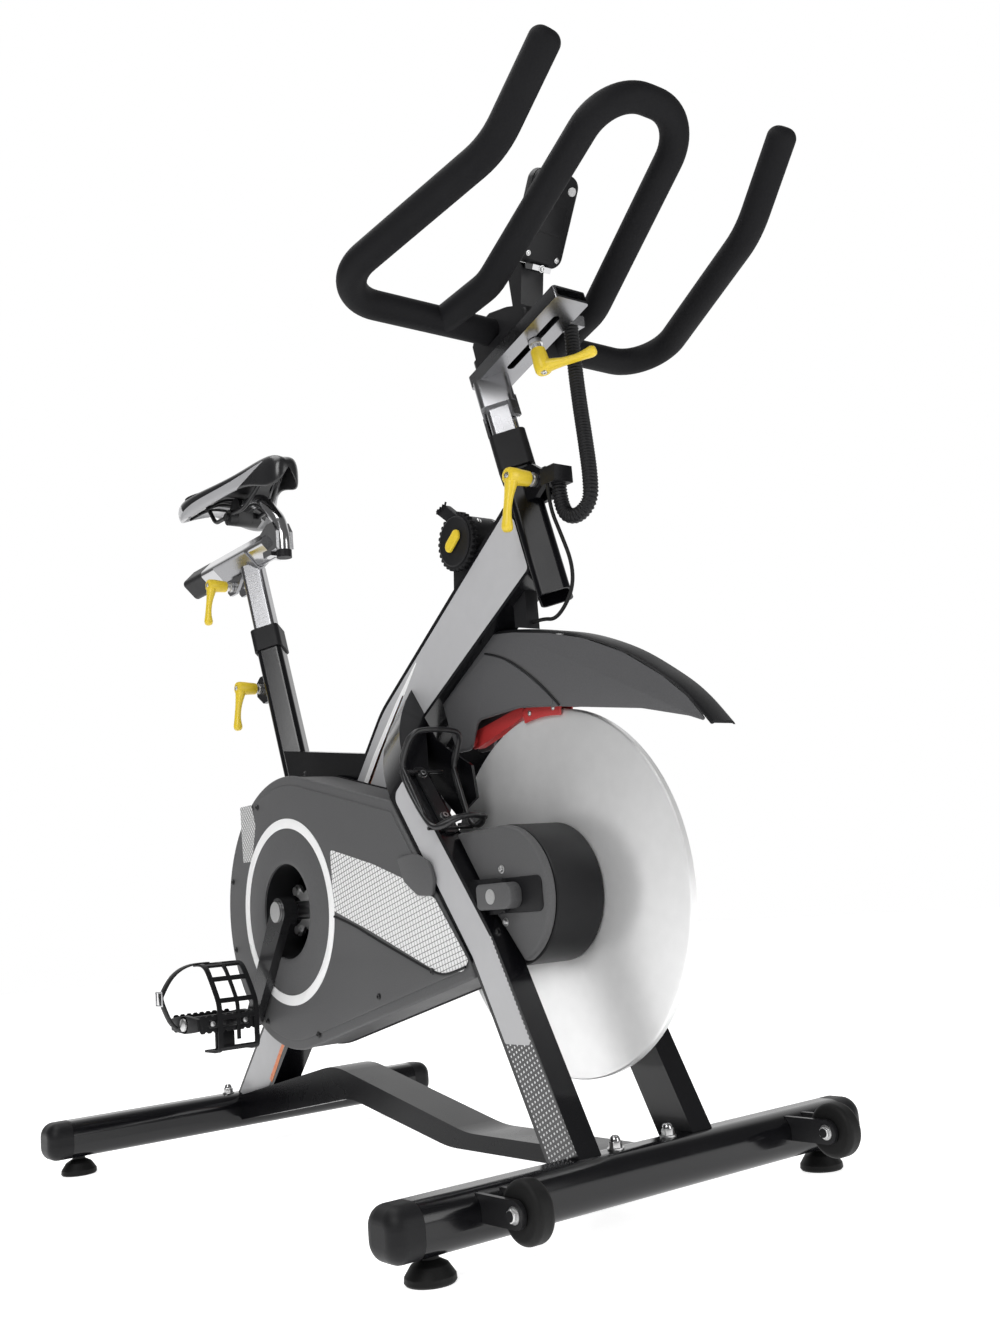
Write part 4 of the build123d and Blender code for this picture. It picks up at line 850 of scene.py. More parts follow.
def makeGuard():
    size = guardSizes
    legBack = ((250 - 3, 276.5), (107 - 3, 472))
    outline = cutBehind(cutBehind(guardOutline(), ((363.5 - 3, 55), legBack[0])), legBack)
    recess = arc(size["crankX"], size["crankZ"], size["recess"], 0, 354, 59)
    face = sidePlate("guardFace", outline, size["face"] - 9, size["face"] - 2, greyCover,
                     holes=(recess,))
    softEdges(face, 5.5, 4, 50)
    face = bake(face, 40)
    wallOuter = cutBehind(cutBehind(guardOutline(1.5), ((363.5 - 3, 55), legBack[0])), legBack)
    wallInner = cutBehind(cutBehind(guardOutline(5.5), ((363.5 - 8, 55), (245, 272))),
                          ((245, 272), (98, 470)))
    wall = bake(sidePlate("guardWall", wallOuter, size["back"], size["face"] - 8, greyCover,
                          holes=(wallInner,)), 40)
    raised = cutBehind(cutBehind(guardOutline(13), ((363.5 - 9, 55), (241, 276.5))),
                       ((241, 276.5), (98, 472)))
    plateau = sidePlate("guardPlateau", raised, size["face"] - 3, size["face"], greyCover,
                        holes=(recess,))
    softEdges(plateau, 1.6, 3, 50)
    plateau = bake(plateau, 40)
    settle(joined("beltGuard", [face, wall, plateau]), "frame", "grey_cover", "guard_outer")
    ringBand = arc(size["crankX"], size["crankZ"], size["ringOuter"], 0, 357, 119)
    ringHole = arc(size["crankX"], size["crankZ"], size["ringInner"], 0, 357, 119)
    ring = sidePlate("guardRing", ringBand, size["face"] + 0.05, size["face"] + 0.9, whiteInk,
                     holes=(ringHole,))
    settle(bake(softEdges(ring, 0.3, 2), 40), "frame", "light_plastic")
    dishProfile = [(size["recess"] + 1, 2), (size["recess"] + 3, 3.2), (size["recess"] + 8, 3.4),
                   (size["ringInner"] - 4, 1.6), (size["ringInner"] - 1, 0.2),
                   (size["ringInner"] - 1, -1), (size["recess"] + 1, -1), (size["recess"] + 1, 2)]
    dish = turned("guardDish", dishProfile, (size["crankX"], -size["face"], size["crankZ"]),
                  (0, -1, 0), greyCover, 120)
    settle(bake(dish, 30), "frame", "grey_cover")
    well = turned("guardWell", [(size["recess"] + 0.6, 0), (size["recess"] - 0.4, 0),
                                (size["recess"] - 1.2, 6), (size["recess"] - 1.2, 46),
                                (size["recess"] + 0.6, 46), (size["recess"] + 0.6, 0)],
                  (size["crankX"], -size["face"] + 0.2, size["crankZ"]), (0, 1, 0),
                  blackPlastic, 96)
    settle(bake(well, 30), "frame", "black_plastic")
    makeGuardPrint()


printSizes = {
    "lift": 0.15,
    "dots": [(-44, 424), (60, 398), (146, 370), (192, 349), (250, 277), (238, 265), (191, 263),
             (47, 315), (-42, 344)],
    "hatch": [(-298, 505), (-262, 505), (-252, 474), (-268, 424), (-296, 424)],
    "groove": [(-42, 337), (2, 326), (47, 309), (120, 284), (186, 262), (212, 262), (244, 270)],
}


def makeGuardPrint():
    size = guardSizes
    dots = dotted(finish("dotted guard panel", (0.11, 0.11, 0.112), 0.45, 0.55, grain=(620, 0.2)),
                  (0.75, 0.75, 0.75), 6.0, 14, 300, 500, 0.43, 0.4)
    dotsOutline = rounded(printSizes["dots"], [4, 200, 200, 4, 4, 8, 40, 200, 4], 6)
    panel = sidePlate("guardDots", dotsOutline, size["face"] + 0.04,
                      size["face"] + 0.04 + printSizes["lift"], dots)
    settle(bake(panel, 30), "frame", "light_plastic")
    hatch = dotted(finish("hatched guard panel", (0.2, 0.2, 0.2), 0.45, 0.55, grain=(620, 0.2)),
                   (0.6, 0.6, 0.6), 5.0, 45, 300, 500, 0.36, 0.36)
    panel = sidePlate("guardHatch", rounded(printSizes["hatch"], 3),
                      size["face"] + 0.04, size["face"] + 0.04 + printSizes["lift"], hatch)
    settle(bake(panel, 30), "frame", "light_plastic")
    groove = [(x, -size["face"] - 0.4, z) for x, z in printSizes["groove"]]
    settle(tubeAlong("guardGroove", groove, 1.6, blackPlastic), "frame", "grey_cover")
    lobe = sidePlate("guardTongue", rounded([(120, 402), (160, 404), (188, 392), (196, 372),
                                             (190, 352), (160, 354), (132, 372)],
                                            [4, 14, 12, 14, 6, 14, 14], 8),
                     size["face"] - 2, size["face"] + 3.4, greyCover)
    settle(bake(softEdges(lobe, 1.5, 3, 60), 40), "frame", "grey_cover")
    for x, z in ((-96, 536), (-246, 505), (-338, 400), (-338, 298), (-246, 194), (-100, 180),
                 (60, 233), (182, 264)):
        lean = math.atan2(z - size["crankZ"], x - size["crankX"])
        spot = (x - 6 * math.cos(lean), -size["face"] + 0.2, z - 6 * math.sin(lean))
        settle(boltHead("guardScrew", spot, (0, -1, 0), 3.2, 1.8, blackSteel, "socket"),
               "frame", "zinc_bolts")


makeGuard()
print("guard")


# flywheel hub cover on the right
hubSizes = {
    "x": 296.0, "z": 345.6, "radius": 79.0, "inner": -2.5, "outer": 64.5, "plate": 77.5,
    "capFace": 96.5,
}


def makeHubCover():
    size = hubSizes
    centre = (size["x"], 0, size["z"])
    radius, inner, outer = size["radius"], size["inner"], size["outer"]
    drumProfile = [(radius - 3, inner), (radius, inner + 0.8), (radius, outer - 1.5),
                   (radius - 1.5, outer), (15, outer), (15, outer - 3), (radius - 3, outer - 3),
                   (radius - 3, inner)]
    drum = turned("hubDrum", drumProfile, centre, (0, -1, 0), blackPlastic, 128)
    settle(bake(drum, 30), "frame", "black_plastic", "hub_cover")
    disc = arc(size["x"], size["z"], size["radius"] - 0.5, 0, 357, 119)
    front = [point for point in disc
             if (294 + 4 - (149 + 4)) * (point[1] - 502) - (303.5 - 502) * (point[0] - 153) > 0]
    rest = sorted(front, key=lambda point: math.atan2(point[1] - size["z"], point[0] - size["x"]))
    rest = [point for point in rest if point[0] > 284 or point[1] < size["z"] - 40]
    plateOutline = [(212, 421.5)] + list(reversed(rest)) + [(275, 330)]
    face = sidePlate("hubPlate", plateOutline, size["outer"] + 0.2, size["plate"], greyCover)
    settle(bake(softEdges(face, 4, 4, 50), 40), "frame", "grey_cover")
    slotOutline = rounded([(262, 326), (366, 326), (366, 365), (238, 365)], [3, 8, 8, 3], 6)
    recess = sidePlate("hubSlot", slotOutline, size["plate"] - 0.5, size["plate"] + 1.6,
                       blackPlastic)
    settle(bake(softEdges(recess, 1, 3, 50), 40), "frame", "black_plastic")
    capOutline = rounded([(268, 331), (331, 331), (331, 360), (268, 360)], [6, 12, 12, 6], 8)
    cap = sidePlate("axleCap", capOutline, size["plate"], size["capFace"], greyCover)
    settle(bake(softEdges(cap, 3, 4, 50), 40), "frame", "grey_cover")
    for z in (375, 316.5):
        settle(boltHead("hubScrew", (296, -size["plate"] + 0.1, z), (0, -1, 0), 3.6, 2.2, zinc,
                        "socket"), "frame", "zinc_bolts")


makeHubCover()
print("hub cover")


# fender
fenderSizes = {
    "middle": -10.0, "half": 18.0, "wall": 2.6, "bandDrop": 4.0, "bandIn": 5.0,
    "top": [(214, 668.5), (262, 662), (332, 647), (391, 629), (455, 600), (512, 563), (544, 536),
            (573, 503)],
    "under": [(543, 512), (474, 531), (338, 555), (264, 565), (180, 562), (162, 528), (132, 528),
              (118, 560), (104, 606)],
}


def makeFender():
    size = fenderSizes
    half, middle = size["half"], size["middle"]
    lower = [(x, z - size["bandDrop"]) for x, z in size["top"]]
    lower[-1] = (568, 502)
    outline = lower + size["under"]
    corners = [1, 20, 60, 60, 80, 80, 60, 2, 60, 120, 120, 60, 14, 10, 10, 6, 1]
    walls = []
    for sign in (1, -1):
        wall = sidePlate("fenderWall", rounded(outline, corners, 8),
                         middle + sign * (half - size["wall"]), middle + sign * half, fenderGrey)
        walls.append(bake(softEdges(wall, 0.8, 2, 50), 30))
    shell = []
    for x, z in smoothPath(size["top"], 7):
        drop, inset = size["bandDrop"], size["bandIn"]
        outer = [(-half, -drop), (-half + 1.5, -drop + 2.4), (-half + inset, 0),
                 (half - inset, 0), (half - 1.5, -drop + 2.4), (half, -drop)]
        under = [(half - 2.6, -drop), (half - inset, -3), (-half + inset, -3), (-half + 2.6, -drop)]
        shell.append([(x, y - middle, z + rise) for y, rise in outer + under])
    top = bake(lofted("fenderTop", shell, blackPlastic), 30)
    settle(joined("frontFender", walls + [top]), "frame", "fender_grey", "fender")
    for sign in (1, -1):
        face = middle + sign * half
        cheek = sidePlate("fenderCheek", rounded(
            [(207, 641), (239, 631), (283, 603), (318, 575), (336, 557), (264, 567), (182, 564),
             (164, 531), (134, 531), (122, 560), (114, 598)],
            [6, 40, 60, 60, 6, 60, 12, 10, 10, 6, 6], 8), face - sign * 0.2, face + sign * 1.0,
            fenderGrey)
        settle(bake(softEdges(cheek, 0.8, 3, 50), 40), "frame", "fender_grey")
        seam = -face - sign * 0.9
        rib = [(207, seam, 642), (241, seam, 633), (286, seam, 604.5), (321, seam, 576),
               (340, seam, 556)]
        settle(tubeAlong("fenderSeam", rib, 1.3, blackPlastic), "frame", "fender_grey")


# points on a smooth curve that passes through the given side-view points
def smoothPath(points, perSpan):
    result = []
    ends = [points[0]] + list(points) + [points[-1]]
    for index in range(1, len(ends) - 2):
        a, b, c, d = (Vector(ends[index + step]) for step in (-1, 0, 1, 2))
        for step in range(perSpan):
            t = step / perSpan
            result.append(tuple(0.5 * ((2 * b) + (c - a) * t + (2 * a - 5 * b + 4 * c - d) * t ** 2
                                       + (3 * b - a - 3 * c + d) * t ** 3)))
    result.append(tuple(points[-1]))
    return result


makeFender()
print("fender")


# saddle
saddleSizes = {
    # along the bike, half width, top, skirt's lower edge
    "stations": [(-546, 30, 1036, 1024), (-541, 60, 1041, 1013), (-523, 80, 1046, 1002),
                 (-495, 84, 1048, 1001), (-465, 78, 1049, 1006), (-435, 64, 1052, 1014),
                 (-405, 50, 1056, 1022), (-375, 40, 1060, 1026), (-345, 34, 1064, 1022),
                 (-315, 30, 1065, 1012), (-293, 27, 1062, 1006), (-279, 20, 1054, 1012),
                 (-274, 10, 1046, 1026)],
    "shell": 5.0,
}


# A short way to write shader arithmetic in one tree
def maskMath(tree):
    def calculate(operation, first, second=None, third=None):
        node = tree.nodes.new("ShaderNodeMath")
        node.operation = operation
        for index, value in enumerate((first, second, third)):
            if value is None:
                continue
            if isinstance(value, (int, float)):
                node.inputs[index].default_value = value
            else:
                tree.links.new(value, node.inputs[index])
        return node.outputs[0]
    return calculate


# lays a colour over a finish where the mask is 1
def tinted(material, mask, color, roughness=None):
    tree = material.node_tree
    shader = tree.nodes["Principled BSDF"]
    blend = tree.nodes.new("ShaderNodeMix")
    blend.data_type = "RGBA"
    tree.links.new(mask, blend.inputs["Factor"])
    tree.links.new(shader.inputs["Base Color"].links[0].from_socket, blend.inputs["A"])
    blend.inputs["B"].default_value = (*color, 1)
    tree.links.new(blend.outputs["Result"], shader.inputs["Base Color"])
    if roughness is not None:
        level = tree.nodes.new("ShaderNodeMix")
        tree.links.new(mask, level.inputs["Factor"])
        tree.links.new(shader.inputs["Roughness"].links[0].from_socket, level.inputs["A"])
        level.inputs["B"].default_value = roughness
        tree.links.new(level.outputs["Result"], shader.inputs["Roughness"])
    return material


def placeParts(tree):
    place = tree.nodes.new("ShaderNodeTexCoord")
    parts = tree.nodes.new("ShaderNodeSeparateXYZ")
    tree.links.new(place.outputs["Object"], parts.inputs["Vector"])
    return parts.outputs["X"], parts.outputs["Z"]


def saddleSkin():
    material = finish("glossy saddle cover", (0.01, 0.01, 0.011), 0.22, 0.34, coat=0.25)
    tree = material.node_tree
    calculate = maskMath(tree)
    x, z = placeParts(tree)
    # pale rear panel behind a slanted seam
    slant = calculate("MULTIPLY_ADD", z, 0.62, x)
    rear = calculate("LESS_THAN", slant, -0.5 + 0.62 * 1.026)
    tinted(material, rear, (0.5, 0.5, 0.51), 0.3)
    # silver swoosh along each side, widest a third behind its front tip
    along = calculate("MULTIPLY_ADD", x, 1 / 0.2, 0.512 / 0.2)
    middle = calculate("MULTIPLY_ADD", calculate("POWER", along, 1.3), 0.046, 1.0075)
    width = calculate("MULTIPLY", calculate("MULTIPLY", calculate("POWER", along, 0.8),
                                            calculate("SUBTRACT", 1.0, along)), 0.032)
    offset = calculate("ABSOLUTE", calculate("SUBTRACT", z, middle))
    stripe = calculate("LESS_THAN", offset, calculate("ADD", width, 0.001))
    within = calculate("MULTIPLY", calculate("GREATER_THAN", along, 0.0),
                       calculate("LESS_THAN", along, 1.0))
    tinted(material, calculate("MULTIPLY", stripe, within), (0.34, 0.34, 0.35), 0.3)
    return material


def makeSaddle():
    sections = []
    for x, half, top, low in saddleSizes["stations"]:
        wall = saddleSizes["shell"]
        rise = top - low
        right = [(0, top - 2.5), (half * 0.3, top - 0.5), (half * 0.62, top - 1),
                 (half * 0.86, top - rise * 0.14), (half, top - rise * 0.42),
                 (half * 0.985, low + rise * 0.2), (half * 0.93, low)]
        inner = [(max(half * 0.93 - wall, 3), low + 0.8),
                 (max(half * 0.94 - wall, 3), low + rise * 0.3),
                 (half * 0.6, top - rise * 0.26), (0, top - rise * 0.24)]
        ring = [(x, -y, z) for y, z in right] + [(x, -y, z) for y, z in inner]
        ring += [(x, y, z) for y, z in reversed(inner[:-1])]
        ring += [(x, y, z) for y, z in reversed(right[1:])]
        sections.append(ring)
    skin = lofted("saddle", sections, saddleSkin())
    smooth = skin.modifiers.new("rounding", "SUBSURF")
    smooth.levels = 2
    smooth.render_levels = 2
    settle(bake(skin, 60), "saddle_body", "saddle_cover", "saddle_pad")
    for x in (-515, -485, -455):
        rib = [(x, -58, 1010), (x, -30, 1030), (x, 0, 1034), (x, 30, 1030), (x, 58, 1010)]
        settle(tubeAlong("saddleRib", rib, 2.2, blackPlastic), "saddle_body", "black_plastic")
    nodes["saddle_base"].data.materials[0] = blackPlastic


makeSaddle()
print("saddle")


# clamp levers
leverSizes = {
    "hubRadius": 10.5, "hubHeight": 33.0,
    # where along the arm, radius across, height of its middle above the spacer
    "shape": [(-3, 6, 24), (2, 9.6, 25), (12, 7.8, 27), (26, 6.0, 31), (42, 5.6, 34),
              (53, 6.4, 35), (60, 7.6, 35), (65, 7.0, 35), (68, 4.0, 35)],
}


def makeLever(name, body, origin, normal, armAxis, spacer):
    base, out = Vector(origin), Vector(normal).normalized()
    arm = Vector(armAxis)
    arm = (arm - out * arm.dot(out)).normalized()
    side = out.cross(arm)
    spacerProfile = [(4, -13), (4, 0.4), (8.5, 0.4), (8.5, spacer * 0.45), (6.4, spacer * 0.5),
                     (6.4, spacer - 0.2), (0, spacer)]
    steelPart = bake(turned(name + "Spacer", spacerProfile, base, out, zinc, 40), 30)
    radius, top = leverSizes["hubRadius"], spacer + leverSizes["hubHeight"]
    hubProfile = [(6, spacer), (radius - 2.2, spacer), (radius - 1.4, spacer + 1),
                  (radius - 0.8, spacer + 12), (radius, spacer + 20), (radius, top - 4),
                  (radius - 1.2, top - 1), (radius - 3.6, top), (4.8, top), (4.6, top - 1.6),
                  (0, top - 1.6)]
    hub = bake(turned(name + "Hub", hubProfile, base, out, yellowPlastic, 56), 35)
    sections = []
    for along, across, lift in leverSizes["shape"]:
        centre = base + arm * along + out * (spacer + lift)
        ring = []
        for step in range(20):
            angle = 2 * math.pi * step / 20
            flat = 0.82 if 12 < along < 60 else 0.95
            ring.append(tuple(centre + side * (across * math.cos(angle))
                              + out * (across * flat * math.sin(angle))))
        sections.append(ring)
    handle = lofted(name + "Arm", sections, yellowPlastic)
    handle.modifiers.new("rounding", "SUBSURF").render_levels = 1
    handle = bake(handle, 60)
    screw = boltHead(name + "Screw", base + out * (top - 1.6), out, 3.4, 2.2, zinc, "socket")
    settle(joined(name, [hub, handle]), body, "yellow_plastic", name)
    settle(steelPart, body, "zinc_bolts")
    settle(screw, body, "zinc_bolts")


lean = math.radians(16)
railOrigin = (257.2, 0, 976.2)
studPlace = (railOrigin[0] + 92 * math.cos(lean) + 0.5 * math.sin(lean), 0,
             railOrigin[2] + 92 * math.sin(lean) - 0.5 * math.cos(lean))
makeLever("lever_head", "lever_head_body", (338, -14, 827), (0, -1, 0), (-0.06, 0, -1), 9)
makeLever("lever_seat_post", "lever_seat_post_body", (-380, -14, 699), (0, -1, 0), (0.06, 0, -1), 9)
makeLever("lever_seat_slider", "lever_seat_slider_body", (-462, -13, 884), (0, -1, 0),
          (0.05, 0, -1), 12)
makeLever("lever_handlebar", "lever_handlebar_body", studPlace,
          (math.sin(lean), 0, -math.cos(lean)),
          (0.86 * math.cos(lean), 0.51, 0.86 * math.sin(lean)), 13)
print("levers")


# bolts, nuts and small hardware
def makeHardware():
    for x in (401, -511):
        for y in (-38, 38):
            base = (x, y, 76.6)
            washer = bake(turned("capNutWasher", [(0, 0), (9, 0), (9, 1.6), (0, 1.8)], base,
                                 (0, 0, 1), zinc, 40))
            hexPart = turned("capNutHex", [(7.4, 1.8), (7.4, 7.5), (6.4, 8.6), (0, 8.8)], base,
                             (0, 0, 1), zinc, 6)
            hexPart = bake(softEdges(hexPart, 0.5, 2), 25)
            dome = bake(turned("capNutDome", [(5.8, 8.2), (5.6, 10), (4.6, 12.6), (2.6, 14.1),
                                              (0, 14.4)], base, (0, 0, 1), chrome, 40), 50)
            settle(joined("capNut", [washer, hexPart, dome]), "frame", "zinc_bolts", "frame_bolts")
    for sign in (-1, 1):
        for direction in (-1, 1):
            spot = (479.5, sign * 218 + direction * 16.6, 60)
            settle(boltHead("wheelBolt", spot, (0, direction, 0), 6.0, 4.0, zinc),
                   "frame", "zinc_bolts")
    # ticks of the seat post's scale
    along = Vector((-0.3123, 0, 0.95))
    forward = Vector((0.95, 0, 0.3123))
    outward = (forward + Vector((0, -1, 0))).normalized()
    across = (forward - Vector((0, -1, 0))).normalized()
    marks = []
    for step in range(13):
        wide = 9 if step % 2 == 0 else 6
        centre = Vector((-240, 0, 386)) + along * (428 + 8 * step) + outward * 17.21 + across * -1
        corners = []
        for lift in (0, 0.1):
            for u, v in ((-wide, -0.6), (wide, -0.6), (wide, 0.6), (-wide, 0.6)):
                corners.append(tuple(centre + across * u + along * v + outward * lift))
        boxFaces = [(0, 1, 2, 3), (4, 5, 6, 7), (0, 1, 5, 4), (1, 2, 6, 5), (2, 3, 7, 6),
                    (3, 0, 4, 7)]
        marks.append(addPiece("mark", corners, boxFaces, lightPlastic))
    settle(joined("seatPostScale", marks), "seat_post_body", "light_plastic")


makeHardware()
print("hardware")


# flat bands and plates set across the bike
# A flat band with softened edges that follows a line, its width along one direction
def bandAlong(name, line, across, width, thick, material):
    wide = Vector(across).normalized()
    places = [Vector(point) for point in line]
    sections = []
    for index, place in enumerate(places):
        ahead = places[min(index + 1, len(places) - 1)] - places[max(index - 1, 0)]
        lift = ahead.normalized().cross(wide).normalized()
        ring = []
        for u, v in ((-1, -0.5), (-0.9, -1), (0.9, -1), (1, -0.5), (1, 0.5), (0.9, 1), (-0.9, 1),
                     (-1, 0.5)):
            ring.append(tuple(place + wide * (u * width / 2) + lift * (v * thick / 2)))
        sections.append(ring)
    return bake(lofted(name, sections, material), 40)


# A plate across the bike: outline in (y, z), thickness between two places along the bike
def crossPlate(name, outline, near, far, material, holes=()):
    piece = sidePlate(name, outline, near, far, material, holes=holes)
    for vertex in piece.data.vertices:
        x, y, z = vertex.co
        vertex.co = (-y, x, z)
    return piece


# the middle and the half lengths of a CAD piece, in millimetres
def boxOf(name):
    corners = [Vector(corner) * 1000 for corner in nodes[name].bound_box]
    low = Vector([min(corner[axis] for corner in corners) for axis in range(3)])
    high = Vector([max(corner[axis] for corner in corners) for axis in range(3)])
    return (low + high) / 2, (high - low) / 2


# pedals and their toe cages
pedalSizes = {
    "barrel": 12.0, "plate": 3.0, "teeth": 9, "toothRise": 2.2,
    "cageWidth": 63.0, "strapWidth": 15.0, "strapThick": 2.2,
}


# the long side of a cage pedal: teeth along its upper and lower edges
def toothedOutline(low, high, middle, half):
    size = pedalSizes
    step = (high - low) / size["teeth"]
    upper = []
    for index in range(size["teeth"]):
        start = low + index * step
        upper += [(start + 0.1 * step, half - size["toothRise"]), (start + 0.3 * step, half),
                  (start + 0.7 * step, half), (start + 0.9 * step, half - size["toothRise"])]
    lower = [(y, -rise) for y, rise in reversed(upper)]
    return [(y, middle + rise) for y, rise in upper + lower]


def makePedal(side, sign):
    size = pedalSizes
    centre, half = boxOf("pedal_" + side)
    body = "pedal_" + side + "_body"
    x, y, z = centre
    low, high = y - half.y, y + half.y
    pieces = []
    for end in (-1, 1):
        edge = x + end * half.x
        outline = toothedOutline(low + 3, high - 3, z, half.z)
        window = rounded([(low + 16, z - 5.5), (high - 16, z - 5.5), (high - 16, z + 5.5),
                          (low + 16, z + 5.5)], [3, 3, 3, 3], 4)
        rail = crossPlate("pedalRail", outline, edge - (size["plate"] if end > 0 else 0),
                          edge + (size["plate"] if end < 0 else 0), blackPlastic, holes=[window])
        pieces.append(bake(softEdges(rail, 0.5, 2, 40), 35))
    for place in (low, high - 7):
        cheek = [(x - half.x + 1, z - 8), (x - 16, z - 11), (x, z - 12), (x + 16, z - 11),
                 (x + half.x - 1, z - 8), (x + half.x - 1, z + 8), (x + 16, z + 11), (x, z + 12),
                 (x - 16, z + 11), (x - half.x + 1, z + 8)]
        bore = arc(x, z, 7.4, 0, 345, 24)
        end = sidePlate("pedalEnd", cheek, -place - 7, -place, blackPlastic, holes=[bore])
        pieces.append(bake(softEdges(end, 1.0, 2, 40), 35))
    ridge = size["barrel"]
    barrel = turned("pedalBarrel", [(7.4, 0), (ridge, 0), (ridge, 8), (ridge - 2.6, 11),
                                    (ridge - 2.6, 2 * half.y - 11), (ridge, 2 * half.y - 8),
                                    (ridge, 2 * half.y), (7.4, 2 * half.y), (7.4, 0)],
                    (x, low, z), (0, 1, 0), blackPlastic, 40)
    pieces.append(bake(barrel, 35))
    for along in (-0.58, 0.58):
        for place in (low + 24, y, high - 24):
            rib = sidePlate("pedalRib", [(x + along * half.x - 14, z - 3.6),
                                         (x + along * half.x + 14, z - 3.6),
                                         (x + along * half.x + 14, z + 3.6),
                                         (x + along * half.x - 14, z + 3.6)],
                            -place - 2.5, -place + 2.5, blackPlastic)
            pieces.append(bake(softEdges(rib, 0.8, 2, 40), 35))
    settle(joined("cagePedal" + side.title(), pieces), body, "black_plastic", "pedal_" + side)
    outer = high if sign > 0 else low
    cap = turned("pedalCap", [(9, 0), (8.6, 2.2), (6.5, 3), (0, 3.2)], (x, outer, z),
                 (0, sign, 0), zinc, 32)
    settle(bake(cap, 35), body, "zinc_bolts")
    for along in (-1, 1):
        for level in (-24, 24):
            spot = (x + along * (half.x + 0.1), y + level, z)
            settle(boltHead("pedalRivet", spot, (along, 0, 0), 2.6, 1.4, zinc, "dome"), body,
                   "zinc_bolts")


def makeToeCage(side, sign):
    size = pedalSizes
    centre, half = boxOf("pedal_" + side)
    body = "pedal_" + side + "_body"
    x, y, z = centre
    inner = y - sign * half.y
    front = x + half.x + 2.5
    width = size["cageWidth"]
    pieces = []
    route = [(x + 2, z - 38), (x + 24, z - 38), (front - 9, z - 37.5), (front - 1, z - 32),
             (front, z - 16), (front, z + 12), (front - 2, z + 26), (front - 12, z + 42),
             (x + 16, z + 66), (x + 6, z + 74), (x - 6, z + 77), (x - 25, z + 77)]
    curve = smoothPath(route, 5)
    for share in (0.07, 0.93):
        place = inner + sign * (2 + width * share)
        pieces.append(bandAlong("cageSide", [(u, place, v) for u, v in curve], (0, 1, 0), 7, 3.4,
                                blackPlastic))
    place = inner + sign * (2 + width / 2)
    pieces.append(bandAlong("cageMiddle", [(u, place, v) for u, v in curve[18:]], (0, 1, 0), 5, 3.2,
                            blackPlastic))
    for index in (1, 14, 24, 31, 38, 46, 54):
        u, v = curve[index]
        ahead = Vector((curve[index + 1][0] - curve[index - 1][0], 0,
                        curve[index + 1][1] - curve[index - 1][1]))
        ends = [(u, inner + sign * (2 + width * share), v) for share in (0.05, 0.35, 0.65, 0.95)]
        pieces.append(bandAlong("cageCross", ends, ahead, 6.5, 3.4, blackPlastic))
    foot = [(x + 2, inner + sign * (2 + width * share), z - 24.8) for share in (0.28, 0.5, 0.72)]
    pieces.append(bandAlong("cageFoot", foot, (0, 0, 1), 26, 3.6, blackPlastic))
    settle(joined("toeCage" + side.title(), pieces), body, "black_plastic", "toe_cage_" + side)
    outer = half.y * 2
    strapLine = [(width - 18, 79.4), (width + 6, 78.6), (width + 24, 73), (width + 38, 62),
                 (width + 50, 44), (width + 52, 34), (outer + 12, 6), (outer + 3.4, -4)]
    strap = [(x - 19, inner + sign * place, z + level) for place, level in smoothPath(strapLine, 5)]
    settle(bandAlong("toeStrap", strap, (1, 0, 0), size["strapWidth"], size["strapThick"],
                     blackRubber), body, "black_rubber")
    knot = Vector(strap[24])
    frameLine = [knot + Vector((across, 0, level)) for across, level in
                 ((-10, -9), (10, -9), (10, 9), (-10, 9), (-10, -9))]
    ring = tubeAlong("buckleFrame", [tuple(point + Vector((0, sign * 2.4, 0)))
                                     for point in frameLine], 1.3, chrome, order=2, sides=10)
    settle(ring, body, "chrome_steel")
    pin = tubeAlong("bucklePin", [tuple(knot + Vector((0, sign * 2.6, -9))),
                                  tuple(knot + Vector((0, sign * 3.4, 0))),
                                  tuple(knot + Vector((0, sign * 2.6, 9)))], 1.1, chrome, sides=10)
    settle(pin, body, "chrome_steel")


for side, sign in (("right", -1), ("left", 1)):
    makePedal(side, sign)
    makeToeCage(side, sign)
print("pedals")


# resistance shifter
shifterSizes = {
    "x": 190.0, "z": 789.0, "teeth": 30, "face": 20.5, "thick": 10.0, "radius": 36.0,
}


